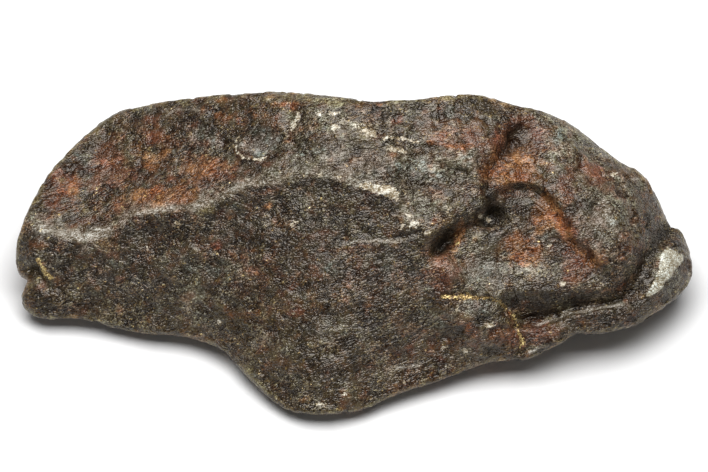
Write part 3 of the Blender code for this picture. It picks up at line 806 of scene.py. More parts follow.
@dataclass(frozen=True)
class Relief:
    """Relief in millimetres: broad swells along w, and fine plates, flakes, lumps and pits.

    The fine relief goes along the normals.
    """

    swells: tuple[Pair, ...] = ((0.55, 13.0), (0.32, 6.0), (0.16, 3.0))
    far_gain: float = 1.3
    plate_height: float = 0.16
    plate_size: float = 4.2
    plate_edge: float = 0.14
    plate_seed: int = 11
    ragged_shift: float = 0.5
    ragged_size: float = 2.2
    ragged_seed: int = 14
    flake_height: float = 0.08
    flake_size: float = 1.8
    flake_stretch: float = 2.6
    flake_lean: float = math.radians(12)
    flake_fold: float = 1.7
    flake_seed: int = 12
    lump_height: float = 0.08
    lump_size: float = 1.3
    lump_seed: int = 13
    pit_depth: float = 0.32
    pit_size: float = 2.4
    pit_start: float = 0.34
    pit_edge: float = 0.14
    pit_seed: int = 15
    calm: float = 0.8
    rough: tuple[Lump, ...] = (
        Lump(1.0, (22, 21), (15, 11), -10),
        Lump(1.1, (49, 8), (13, 13)),
        Lump(0.5, (29, -13), (10, 7)),
        Lump(0.4, (-45, 18), (18, 10), 10),
        Lump(0.4, (-62, -4), (7, 9)),
    )
    far_rough: float = 1.3
    layer_height: float = 0.4

    def gain(self, u: Array, v: Array) -> Array:
        """How rough each place of the near side is: calm on the front face, rough on the right."""
        return self.calm + total(self.rough, u, v)

    def broad(self, points: Array) -> Array:
        """The broad swells that the whole stone has."""
        layers = enumerate(self.swells, 1)
        return sum(height * Swells(size, seed).at(points) for seed, (height, size) in layers)

    def stretched(self, points: Array, view: Viewpoint) -> Array:
        """Places squeezed along the flakes' run, which climbs a little to the right.

        Args:
            points: places in millimetres.
            view: the viewpoint.

        Returns:
            The squeezed places.
        """
        up, _ = view.directions()
        run = np.array((math.cos(self.flake_lean), *(math.sin(self.flake_lean) * up)[1:]))
        along = points @ run
        return points - (along * (1 - 1 / self.flake_stretch))[:, None] * run

    def fine(self, points: Array, view: Viewpoint) -> Array:
        """Height of the fine relief.

        Plates are swells cut to two levels by a sharp step, on places shaken a little so that
        their edges are ragged. Flakes are swells folded to sharp
        crests, on squeezed places. Lumps are plain small swells, and pits the peaks of another
        set of swells, turned down.

        Args:
            points: places in millimetres.
            view: the viewpoint.

        Returns:
            Height along the normal at each place.
        """
        shake = self.ragged_shift * Swells(self.ragged_size, self.ragged_seed).at(points)
        plates = Swells(self.plate_size, self.plate_seed).at(points + shake[:, None])
        plates = smooth_step(0.5 + plates / self.plate_edge) - 0.5
        flakes = Swells(self.flake_size, self.flake_seed).at(self.stretched(points, view))
        flakes = 0.5 - self.flake_fold * np.abs(flakes)
        lumps = Swells(self.lump_size, self.lump_seed).at(points)
        pits = Swells(self.pit_size, self.pit_seed).at(points)
        pits = smooth_step((pits - self.pit_start) / self.pit_edge)
        return (
            self.plate_height * plates
            + self.flake_height * flakes
            + self.lump_height * lumps
            - self.pit_depth * pits
        )


@dataclass(frozen=True)
class FarPatch:
    """Patches of one mark on the far side, where broad swells rise past a level."""

    mark: Mark
    size: float
    seed: int
    strength: float
    start: float = 0.15
    edge: float = 0.35

    def at(self, points: Array) -> Array:
        """The strength times a smooth step up from the start, over the edge's height."""
        risen = (Swells(self.size, self.seed).at(points) - self.start) / self.edge
        return self.strength * smooth_step(risen)


@dataclass(frozen=True)
class Marks:
    """Where each kind of mark lies: patches and streaks of (u, v) in front, swells behind. Several of the
    front layers are painted shade and painted highlights.
    """

    # The crest line along which a painted highlight and painted shade are laid.
    crest: Profile = Profile((
        (-72, 6.8), (-67, 5.6), (-64.7, 5.0), (-60.4, 3.5), (-53.3, 3.3), (-49.2, 5.4),
        (-45.8, 8.0), (-40.9, 9.0), (-34.6, 8.8), (-29.2, 10.2), (-25.1, 12.4), (-19.5, 14.1),
        (-14.7, 14.9), (-7.1, 16.0), (-2.3, 15.1), (1.9, 13.7), (5.4, 13.0), (8.1, 11.9),
        (10.4, 7.8), (14.2, 3.6), (20, 6.0),
    ))
    crest_ends: Pair = (-74.0, 13.0)
    crest_end_fade: float = 6.0
    crest_edge: float = 0.8
    crest_drop: float = 0.6
    pale_reach: float = 2.6
    shade_reach: float = 8.0
    crest_sheen_and_wear: float = 0.4
    sheen_and_wear_reach: float = 1.5
    sheen_and_wear_above: float = 0.8
    # A tan band painted along the outline, standing in for the light that the rim catches from the floor.
    painted_rim_light: Pair = (0.7, 0.9)
    # Painted shade under the crest, below the block, in the arch and along the right edge, partly darker
    # olive patina.
    shade: Forms = (
        Lump(0.8, (-2.0, 7.0), (11.0, 4.5), -5, 1.5),
        Lump(0.7, (-46.0, -5.0), (22.0, 8.0), 5),
        Lump(0.6, (8.0, 2.0), (7.0, 5.0), 10),
        Lump(0.8, (-7.0, -1.0), (8.0, 4.5)),
        Lump(0.5, (-25.0, 6.0), (10.0, 5.0), 20),
        Streak(
            0.9, 2.4,
            ((30.3, -9.7), (38.6, -9.7), (46.9, -10.8), (55.2, -10.8), (61.4, -7.7)),
            None, 0.08,
        ),
        Streak(0.7, 1.6, ((61.4, -7.7), (59.5, -3.0), (61.5, 1.0), (65.0, 5.5))),
        Lump(0.8, (30.0, 4.0), (5.0, 3.5), 20),
        Lump(0.8, (26.0, 3.5), (3.8, 3.0)),
        Lump(0.8, (9.0, 29.5), (9.0, 2.6)),
        Lump(0.5, (14.7, 17.2), (2.5, 4.0)),
        Lump(0.8, (-56.0, 15.5), (2.6, 2.6)),
        Lump(1.0, (-27.0, 6.5), (5.0, 3.5), 20),
        Lump(0.5, (-48.0, 15.0), (3.0, 2.0), 20),
        Lump(0.9, (-11.2, 11.0), (3.2, 2.0)),
        Lump(0.7, (-33.0, 3.5), (3.4, 2.0)),
        Lump(0.7, (13.7, -0.8), (4.0, 2.5)),
        Lump(0.6, (-55.4, 13.5), (3.4, 2.2)),
        Lump(0.5, (5.4, 29.2), (6.0, 2.0)),
        Lump(0.5, (-43.0, -2.0), (5.0, 2.6)),
        Streak(0.9, 0.5, ((29.5, 12.4), (33.0, 13.0), (37.5, 12.0))),
        Streak(0.9, 0.4, ((30.2, 10.9), (34.5, 11.3), (38.2, 9.8))),
        Streak(0.9, 0.4, ((31.2, 9.0), (35.0, 9.5), (38.0, 8.2))),
        Streak(1.0, 1.7, ((50.0, 23.0), (57.0, 17.6), (62.0, 13.5), (65.5, 7.0), (69.5, 1.0), (69.9, -4.0))),
        Lump(0.6, (-20.0, 19.8), (3.0, 1.2), -10),
        Lump(1.0, (-54.0, 13.6), (3.6, 1.8)),
        Lump(0.7, (-22.8, 20.5), (2.2, 2.0)),
        Lump(0.4, (-0.5, 16.8), (2.5, 1.5)),
        Lump(0.8, (12.6, 17.6), (2.2, 2.2)),
        Lump(0.8, (24.0, 4.2), (5.0, 1.6)),
        Lump(0.7, (38.5, 3.6), (2.6, 1.3)),
        Lump(0.5, (13.0, -19.5), (3.0, 1.5)),
        Streak(0.9, 0.5, ((36.5, 29.4), (40.5, 26.6), (44.0, 23.2), (50.0, 18.8), (57.0, 16.0))),
        Streak(0.9, 0.7, ((-16.0, 26.6), (-14.6, 23.8), (-15.2, 20.8), (-17.6, 18.6))),
        Streak(0.8, 0.4, ((-22.0, 31.2), (-15.0, 30.6), (-6.0, 29.8), (1.0, 29.4), (8.0, 30.6))),
    )
    # Pale patina, partly painted highlights on the spur, the dome and other faces that catch the light.
    pale: Forms = (
        Lump(0.35, (-0.8, 18.3), (11.0, 5.0), -8),
        Lump(0.3, (-3.0, 27.0), (9.0, 4.5)),
        Lump(0.8, (9.6, 11.0), (3.6, 5.5), 38),
        Lump(0.6, (15.8, 13.1), (4.5, 4.5)),
        Lump(0.5, (24.5, 19.3), (4.5, 4.0)),
        Lump(1.0, (52.5, 7.9), (6.5, 8.5), 10),
        Lump(0.7, (46.9, 18.3), (9.0, 4.5), -30),
        Lump(0.6, (55.0, 16.5), (5.0, 3.0), -40),
        Lump(0.7, (66.0, -3.0), (3.5, 6.0), -20),
        Lump(0.4, (-58.0, 4.0), (8.0, 2.5)),
        Streak(0.8, 1.5, ((35.5, 29.2), (42.7, 26.5), (51.0, 21.4), (57.2, 16.2), (61.4, 11.0))),
        Streak(0.7, 1.3, ((2.0, 28.0), (7.0, 24.0), (9.5, 20.0), (10.0, 14.0), (9.0, 10.0))),
        Lump(0.4, (31.4, -3.0), (8.0, 3.4)),
        Lump(0.6, (44.0, -4.0), (6.5, 3.2), -10),
        Lump(0.6, (26.1, -1.0), (4.0, 4.0)),
        Lump(0.6, (26.1, -10.0), (4.5, 3.5)),
        Lump(0.3, (-33.0, -8.0), (6.0, 4.0)),
        Lump(0.45, (-29.9, -9.3), (9.0, 3.2), 8),
        Lump(0.35, (-14.3, -17.6), (6.0, 4.0)),
        Lump(0.7, (14.7, 19.7), (5.0, 2.4)),
        Lump(0.7, (17.0, 11.0), (2.4, 3.0)),
        Lump(0.5, (-13.3, 17.2), (9.0, 3.2), 10),
        Lump(0.5, (17.8, -4.5), (2.4, 2.6)),
        Lump(0.7, (22.0, -12.0), (3.0, 4.0)),
        Lump(0.6, (-31.5, 8.8), (3.0, 1.6), 15),
        Lump(0.7, (-65.0, 4.2), (3.0, 2.0)),
        Lump(0.7, (-33.0, 8.2), (4.0, 2.0), 10),
        Lump(0.4, (-56.5, 18.5), (4.0, 2.0), 30),
        Lump(0.8, (-12.5, 27.0), (1.6, 5.0), 5),
        Lump(1.0, (14.0, 20.3), (6.0, 1.8), -5),
        Lump(1.0, (16.8, 10.5), (3.0, 2.6)),
        Lump(0.7, (18.5, -4.8), (3.0, 2.6)),
        Lump(0.6, (30.0, 0.0), (4.0, 2.0)),
        Lump(0.4, (25.0, 21.0), (10.0, 8.0), -10),
        Lump(0.5, (-31.5, -14.0), (1.5, 4.0), 35),
        Streak(1.0, 1.1, ((-21.0, 32.6), (-15.5, 32.2), (-6.0, 31.4), (1.0, 30.8), (6.0, 30.9))),
    )
    # Blue-grey patina, partly painted sheen on the hump, the front face and the pit.
    blue_patina_and_sheen: Forms = (
        Lump(0.9, (-56.4, 19.3), (2.5, 2.1)),
        Lump(0.8, (-30.9, 22.8), (3.7, 2.5)),
        Lump(0.7, (-44.6, 16.2), (1.5, 2.1)),
        Lump(0.4, (-54.8, 13.7), (2.9, 1.5)),
        Lump(0.8, (-31.9, 25.5), (2.1, 1.5)),
        Lump(0.6, (-30.1, 13.9), (2.1, 1.2), 10),
        Lump(1.0, (-19.4, 22.9), (4.2, 3.3), 25, 2.5),
        Lump(0.6, (3.3, 16.0), (3.3, 1.9)),
        Lump(0.9, (19.3, 28.8), (2.3, 1.7)),
        Lump(0.7, (14.1, 27.0), (2.1, 1.2), 10),
        Lump(0.6, (18.0, 15.1), (2.5, 1.7)),
        Lump(0.7, (11.2, 17.2), (5.0, 3.3)),
        Lump(0.8, (28.4, 27.0), (1.7, 1.2)),
        Lump(0.9, (48.1, 19.3), (1.9, 1.0), 20),
        Lump(0.6, (42.3, 24.5), (2.1, 1.2), 30),
        Lump(0.9, (47.5, 9.3), (2.5, 2.1)),
        Lump(0.9, (26.5, -2.9), (4.1, 2.9)),
        Lump(0.8, (26.5, -11.0), (3.7, 1.7)),
        Lump(0.6, (-28.6, -3.5), (5.4, 2.5), 8),
        Lump(0.4, (-5.0, -3.1), (5.0, 2.5), 10),
        Lump(0.3, (-7.1, -16.0), (5.4, 2.9), 10),
        Lump(0.7, (39.6, 3.7), (2.9, 1.7)),
        Lump(0.7, (51.0, 5.8), (3.7, 2.9), 30),
        Lump(0.6, (7.5, -4.6), (4.6, 2.1), 10),
        Lump(0.5, (16.8, -13.9), (4.1, 2.1), 10),
        Lump(0.5, (-7.1, 21.4), (4.6, 2.5)),
        Lump(0.6, (24.1, 19.3), (3.3, 2.1)),
        Lump(0.6, (46.9, -11.8), (3.7, 1.2), 10),
    )
    rust: Forms = (
        Lump(0.30, (-45.0, 18.0), (22.0, 11.0), 10),
        Lump(0.25, (18.0, 24.0), (9.0, 6.0)),
        Lump(0.2, (-52.7, 7.9), (9.0, 3.0)),
        Lump(0.6, (-50.6, 18.3), (3.0, 4.0)),
        Lump(0.9, (33.4, 23.4), (5.0, 3.0), 40),
        Lump(0.8, (17.8, -3.5), (3.0, 4.0)),
        Lump(0.6, (45.8, -4.6), (5.0, 3.0)),
        Lump(0.5, (44.0, 14.0), (3.0, 4.0), 20),
        Lump(0.5, (49.0, 17.0), (4.0, 2.0), -30),
        Lump(0.3, (-12.0, -2.0), (20.0, 9.0)),
        Lump(0.3, (18.0, -20.0), (14.0, 5.0), 18),
        Lump(1.0, (-60.6, 14.3), (4.2, 3.2)),
        Lump(0.7, (-53.3, 20.9), (1.5, 1.0)),
        Lump(0.8, (-50.2, 19.3), (1.7, 2.7)),
        Lump(0.9, (-41.3, 24.5), (1.9, 1.7)),
        Lump(0.6, (-42.7, 27.8), (2.1, 1.2)),
        Lump(0.6, (-47.5, 16.2), (2.1, 1.0)),
        Lump(0.7, (-48.5, 9.7), (1.7, 1.5)),
        Lump(0.6, (-61.8, 9.3), (2.1, 1.9)),
        Lump(0.5, (-31.9, 16.2), (7.1, 2.9), 8),
        Lump(0.5, (-23.6, 28.0), (2.9, 1.7)),
        Lump(0.8, (-18.3, 18.5), (2.1, 1.0), -8),
        Lump(0.8, (9.3, 27.6), (0.8, 0.8)),
        Lump(0.8, (24.9, 25.1), (1.9, 2.5)),
        Lump(1.0, (35.7, 26.5), (1.7, 2.3), 30),
        Lump(0.9, (34.0, 23.4), (1.7, 1.2), 30),
        Lump(0.6, (30.3, 13.1), (2.5, 3.3), 60),
        Lump(0.9, (34.0, 12.2), (2.3, 0.8), -5),
        Lump(0.7, (49.2, 17.8), (1.7, 0.8)),
        Lump(1.0, (50.8, 15.1), (1.9, 0.6), 5),
        Lump(0.8, (44.8, 3.7), (1.7, 4.6), 25),
        Lump(0.9, (46.9, -0.6), (2.7, 2.7), 30),
        Lump(0.6, (46.5, -3.3), (3.1, 2.3), 15),
        Lump(0.7, (58.7, 0.8), (1.9, 2.3)),
        Lump(0.8, (19.3, -4.4), (2.7, 3.3)),
        Lump(1.0, (40.4, -16.2), (3.3, 1.7), 20),
        Lump(0.8, (35.0, -17.5), (4.5, 2.4), 10),
        Lump(1.0, (-12.0, -12.4), (2.3, 0.8)),
        Lump(1.0, (-28.8, 1.5), (1.5, 0.8), 10),
        Lump(0.8, (-20.9, -3.7), (1.2, 0.8)),
        Lump(0.6, (-51.2, 0.4), (1.9, 1.5)),
        Lump(0.8, (-48.1, -5.4), (1.2, 0.8)),
        Lump(0.9, (-65.1, -6.8), (1.2, 1.0)),
        Lump(1.0, (33.0, 22.0), (4.6, 3.4), 40),
        Lump(0.7, (36.8, 23.6), (3.4, 3.2)),
        Lump(0.2, (24.0, 21.0), (10.0, 9.0)),
        Lump(0.3, (50.0, 8.0), (12.0, 10.0)),
    )
    orange: Forms = (
        Lump(0.9, (32.4, 17.2), (5.5, 3.2), 8),
        Lump(1.0, (39.4, 8.5), (2.4, 4.6), 12),
        Lump(0.6, (35.0, 0.2), (4.5, 2.4)),
        Lump(0.25, (-42.3, 21.4), (4.0, 4.0)),
        Lump(0.5, (-41.0, 12.0), (8.0, 2.2), 6),
        Lump(0.35, (-30.9, 17.6), (5.0, 2.8), 8),
        Lump(0.3, (-59.8, 13.7), (2.6, 2.6)),
        Lump(0.9, (-58.5, 13.7), (1.0, 1.9), -10),
        Lump(0.6, (-50.2, 19.1), (1.0, 1.9)),
        Lump(0.6, (-41.9, 18.7), (2.7, 1.7)),
        Lump(0.7, (-39.2, 20.7), (1.7, 1.0), 10),
        Lump(0.8, (-31.3, 17.0), (3.3, 1.7), 8),
        Lump(1.0, (-40.9, 11.2), (3.5, 1.9), 8),
        Lump(0.8, (-34.8, 11.2), (2.5, 1.7), 10),
        Lump(0.6, (-45.0, 12.7), (1.2, 1.5)),
        Lump(0.6, (-27.8, 28.8), (1.7, 1.0)),
        Lump(0.6, (-27.8, 32.1), (2.5, 1.0)),
        Lump(0.6, (-58.7, 5.4), (1.7, 1.0)),
        Lump(0.5, (-62.3, 1.2), (3.7, 1.1)),
        Lump(0.6, (2.7, 30.9), (2.9, 0.6)),
        Lump(0.6, (-14.1, 30.9), (2.9, 0.6)),
        Lump(0.9, (-17.8, 9.5), (0.8, 0.8)),
        Lump(0.6, (-17.2, 13.1), (2.5, 0.8), 15),
        Lump(0.8, (16.6, 6.6), (0.8, 0.6)),
        Lump(0.8, (8.2, 20.2), (0.9, 0.7)),
        Lump(0.9, (32.6, 17.6), (4.4, 2.7), 10),
        Lump(0.9, (30.3, 18.0), (2.1, 2.5)),
        Lump(0.4, (24.7, 26.5), (1.2, 1.9)),
        Lump(0.7, (38.6, 7.5), (2.1, 1.9)),
        Lump(0.8, (33.0, 2.7), (1.9, 1.7), 40),
        Lump(0.8, (34.0, 0.4), (1.7, 1.7)),
        Lump(0.9, (36.2, -1.0), (2.8, 2.0), -20),
        Lump(0.6, (23.4, -15.6), (1.7, 1.5)),
        Lump(0.8, (29.2, -16.8), (1.9, 1.5), 20),
        Lump(0.7, (50.8, -1.2), (1.9, 1.9)),
        Streak(0.8, 0.5, ((13.9, 23.2), (17.8, 22.6), (22.0, 22.2), (26.3, 22.4))),
        Streak(1.3, 0.9, ((39.6, 11.8), (41.6, 9.0), (43.0, 5.6), (44.8, 2.6), (47.6, -0.4), (50.0, -4.0))),
        Streak(1.0, 0.8, ((22.8, 6.2), (21.8, 3.5), (21.2, 1.2), (21.0, -0.6))),
        Lump(0.6, (22.3, 5.5), (1.2, 2.4)),
        Lump(0.5, (33.5, 21.6), (5.0, 3.2), 40),
    )
    tan: Forms = (
        Streak(0.9, 1.0, ((-22.0, 32.4), (-17.0, 32.4), (-9.0, 31.8), (-1.0, 31.3), (6.0, 31.0))),
        # Painted rim light along the lower left edge.
        Streak(0.9, 0.9, ((-26.8, -19.6), (-23.3, -23.4), (-20.5, -26.9), (-17.2, -29.7), (-13.7, -32.0))),
        Streak(0.9, 0.8, ((14.7, 3.9), (17.0, 5.0), (19.3, 6.6), (20.3, 8.4))),
        Lump(0.4, (-53.9, 2.1), (2.9, 1.0)),
        Lump(0.5, (2.3, 24.9), (2.9, 1.9)),
        Lump(0.5, (19.9, 10.0), (1.2, 1.7), 40),
        Lump(0.5, (21.2, 1.2), (1.0, 1.7)),
        Lump(0.8, (-31.0, 8.9), (2.6, 1.4), 15),
        Lump(0.4, (-50.0, 1.0), (4.0, 1.2), 5),
    )
    # Painted highlights along crests, ledges and the lip, partly real wear.
    sheen_and_wear: Forms = (
        Streak(
            0.45, 0.6,
            ((-65.1, 4.4), (-61.8, 3.5), (-58.5, 3.1), (-52.3, 3.5), (-49.2, 4.8), (-47.1, 7.3),
             (-44.0, 8.3), (-39.6, 8.9), (-36.9, 9.5), (-33.2, 9.9), (-29.7, 10.8), (-26.8, 11.8),
             (-23.6, 13.7), (-19.1, 14.5), (-13.5, 14.3), (-11.0, 15.2), (-8.9, 16.2)),
        ),
        Streak(0.7, 0.35, ((-40.7, 27.4), (-39.4, 28.2), (-37.1, 29.7), (-33.2, 29.9), (-31.5, 29.5))),
        Streak(0.9, 0.35, ((-1.7, 2.3), (2.5, 2.4), (5.8, 2.6), (9.3, 2.6), (12.0, 3.2))),
        Streak(0.7, 0.35, ((36.1, -15.6), (39.0, -14.6), (42.2, -13.4), (45.4, -12.3), (49.8, -11.6),
                           (55.0, -10.9), (57.7, -10.3))),
        Streak(0.6, 0.3, ((42.1, -15.1), (44.0, -14.9), (46.0, -16.2), (48.9, -16.4))),
        Streak(0.9, 0.3, ((8.3, -23.8), (11.0, -23.6), (13.9, -23.4))),
        Streak(0.8, 0.35, ((35.7, -20.9), (39.0, -19.6), (40.8, -19.1))),
        Streak(1.0, 0.3, ((57.4, 15.1), (58.7, 15.5), (59.5, 15.3))),
        Streak(0.8, 0.3, ((33.2, 28.0), (33.8, 28.7), (33.6, 29.2))),
        Lump(0.25, (3.0, 18.0), (12.0, 5.0), -10),
        Streak(0.45, 1.3, ((-67.0, 5.4), (-61.5, 4.0), (-54.0, 3.7), (-49.5, 5.6))),
        Lump(0.3, (25.0, -4.0), (9.0, 4.0)),
        Lump(0.7, (50.6, 6.4), (4.5, 4.5)),
    )
    chalk: Forms = (
        Streak(0.9, 0.22, ((-23.0, 25.0), (-24.4, 23.4), (-24.5, 21.6), (-23.6, 20.2), (-21.8, 19.3),
                           (-18.9, 19.6), (-17.6, 20.4))),
        Streak(0.6, 0.7, ((-11.0, 29.8), (-11.8, 28.2), (-12.4, 26.8), (-13.2, 25.0))),
        Lump(0.7, (-7.1, 28.8), (0.8, 0.6)),
        Lump(0.8, (-4.3, 28.9), (1.4, 0.5)),
        Lump(1.0, (-4.1, 26.0), (0.9, 0.7)),
        Lump(0.6, (0.2, 26.4), (1.0, 0.8)),
        Lump(0.6, (2.2, 25.2), (1.6, 1.2)),
        Lump(0.7, (4.0, 24.6), (1.0, 1.0)),
        Streak(0.7, 0.5, ((5.4, 23.6), (8.5, 24.0), (11.5, 23.3), (14.1, 22.6))),
        Lump(1.1, (8.1, 21.5), (1.4, 0.7)),
        Lump(0.8, (10.4, 21.0), (1.0, 0.6)),
        Lump(1.2, (3.0, 13.7), (1.9, 0.8), -15),
        Lump(1.5, (6.6, 13.0), (2.0, 1.0), -10),
        Lump(0.9, (8.4, 11.7), (1.1, 0.9)),
        Lump(0.5, (11.4, 7.6), (1.2, 1.0), -30),
        Lump(0.6, (-7.1, 16.2), (1.0, 0.8)),
        Lump(0.5, (-3.1, 15.8), (1.0, 0.6)),
        Lump(0.7, (-12.5, 6.1), (1.2, 0.6), 30),
        Lump(0.9, (12.7, 5.8), (1.1, 0.8)),
        Lump(0.5, (10.0, 5.6), (1.3, 0.8)),
        Lump(0.6, (14.6, 4.0), (2.0, 0.6), 15),
        Lump(0.5, (19.4, 9.2), (1.0, 1.4), 40),
        Lump(1.6, (26.3, 7.5), (0.5, 0.5)),
        Lump(1.5, (27.9, 6.9), (0.6, 0.4), -30),
        Lump(0.7, (40.4, 1.5), (0.6, 0.5)),
        Lump(0.9, (43.3, -6.5), (1.0, 0.5)),
        Lump(0.7, (28.2, -15.1), (1.2, 0.8), 30),
        Lump(0.8, (21.4, -11.4), (0.6, 0.6)),
        Lump(0.8, (18.7, -19.6), (0.8, 0.6)),
        Lump(0.8, (23.0, -20.1), (1.0, 0.6)),
        Lump(0.6, (20.1, -23.4), (1.5, 0.6)),
        Lump(0.8, (-36.7, 6.0), (1.0, 0.8), 40),
        Lump(0.4, (-43.3, 1.3), (1.9, 0.7), 15),
        Lump(0.8, (-28.0, -14.2), (0.7, 0.6)),
        Lump(0.9, (-21.6, -12.0), (0.5, 0.5)),
        Lump(0.7, (-6.8, -31.3), (1.2, 0.4)),
        Lump(0.8, (-2.1, -29.2), (0.8, 0.5), 10),
        Lump(0.7, (10.4, -26.9), (0.6, 0.5)),
        Lump(0.7, (-12.7, -12.4), (0.6, 0.4)),
        Lump(0.9, (53.9, 16.4), (0.8, 0.4), 10),
        Lump(0.8, (69.7, -4.4), (0.4, 0.6)),
    )
    brass: Forms = (
        Streak(
            0.9, 0.26,
            ((17.8, -9.3), (19.5, -9.1), (23.6, -9.1), (25.5, -9.3), (28.2, -9.4), (30.1, -10.2),
             (31.8, -11.9), (33.3, -13.4), (34.0, -15.6), (34.6, -17.3), (35.3, -18.4),
             (34.4, -19.7)),
            None, 0.05,
        ),
        Lump(0.6, (19.2, -9.1), (1.6, 0.6)),
        Streak(1.8, 0.4, ((-66.0, -0.8), (-65.1, -2.5), (-64.4, -3.7), (-63.5, -4.8), (-62.8, -5.7))),
        Lump(0.6, (21.5, 1.8), (0.6, 0.8)),
        Lump(0.6, (22.6, -8.9), (2.4, 0.6)),
        Lump(0.6, (34.6, -18.6), (0.8, 1.2)),
    )
    scar: Region = Region((
        (65.1, 1.3), (68.3, -0.7), (68.2, -2.0), (66.6, -3.5), (65.2, -5.6), (63.6, -7.5),
        (61.8, -8.7), (60.5, -9.0), (62.0, -6.4), (63.1, -4.0), (63.5, -1.6), (64.2, 0.3),
    ), edge=0.45)
    # Painted shade in the holes, grooves and dark recesses of the near side.
    hollow_shade: Forms = (
        Lump(1.0, (28.6, 7.4), (3.4, 2.6), 15, 1.3),
        Lump(0.5, (34.6, 23.4), (4.4, 3.2), 30),
        Lump(0.4, (-19.6, 21.8), (3.4, 2.4), 20),
        Lump(0.35, (12.0, 30.0), (9.0, 2.0)),
        Lump(0.35, (6.5, 28.4), (3.0, 2.6)),
        Streak(1.0, 0.6, ((15.7, 14.3), (18.7, 12.9), (21.2, 11.8))),
        Lump(0.7, (33.0, 11.0), (4.8, 2.4), -5),
        Lump(1.0, (18.6, 1.8), (3.6, 1.9), 48, 1.2),
        Lump(0.35, (34.0, 23.1), (4.2, 2.0), 40, 1.3),
        Lump(0.8, (-66.4, -1.2), (1.0, 1.0)),
        Lump(0.3, (44.0, -10.0), (9.0, 1.6), 5),
        Streak(0.6, 1.3, ((34.6, 27.2), (32.8, 23.0), (29.7, 18.3), (28.0, 13.1), (28.2, 8.5))),
        Streak(0.9, 1.3, ((66.8, 5.6), (63.6, 2.9), (61.9, 0.0), (60.9, -4.6), (58.6, -8.8))),
    )
    far: tuple[FarPatch, ...] = (
        FarPatch(Mark.BLUE_PATINA_AND_SHEEN, 9.0, 31, 0.6),
        FarPatch(Mark.RUST, 10.0, 32, 0.8),
        FarPatch(Mark.ORANGE, 7.0, 33, 0.6),
        FarPatch(Mark.TAN, 8.0, 34, 0.4),
        FarPatch(Mark.CHALK, 3.0, 35, 0.45),
    )

    def layers(self, u: Array, v: Array) -> dict[Mark, Array]:
        """Strength of every mark on the near side.

        Along the ridge's crest a painted highlight, partly wear, lies above the edge and painted
        shade below it, each a bell across the crest.

        Args:
            u: places to the right.
            v: places up the picture.

        Returns:
            One array for each kind of mark, 0 where it is absent and 1 or more where it is full.
        """
        patches = {
            Mark.SHADE: self.shade,
            Mark.PALE: self.pale,
            Mark.BLUE_PATINA_AND_SHEEN: self.blue_patina_and_sheen,
            Mark.RUST: self.rust,
            Mark.ORANGE: self.orange,
            Mark.TAN: self.tan,
            Mark.SHEEN_AND_WEAR: self.sheen_and_wear,
            Mark.CHALK: self.chalk,
            Mark.BRASS: self.brass,
            Mark.HOLLOW_SHADE: self.hollow_shade,
        }
        strengths = {mark: np.clip(total(forms, u, v), 0, 1) for mark, forms in patches.items()}
        strengths[Mark.SCAR] = self.scar.at(u, v)
        off = v - self.crest.at(u)
        start, stop = self.crest_ends
        fade = self.crest_end_fade
        here = smooth_step((u - start) / fade) * smooth_step((stop - u) / fade)
        # Painted highlight with wear above the crest, painted shade on the face below it.
        above = smooth_step(0.5 + (off + self.crest_drop) / self.crest_edge)
        sheen_and_wear = here * above * bell(np.maximum(off, 0), self.pale_reach)
        dark = here * (1 - above) * bell(np.minimum(off, 0), self.shade_reach)
        sheen_band = above * here * bell(off - self.sheen_and_wear_above, self.sheen_and_wear_reach)
        strengths[Mark.PALE] = np.maximum(strengths[Mark.PALE], sheen_and_wear) * (1 - dark)
        strengths[Mark.SHADE] = np.maximum(strengths[Mark.SHADE], dark)
        strengths[Mark.SHEEN_AND_WEAR] += self.crest_sheen_and_wear * sheen_band
        return strengths


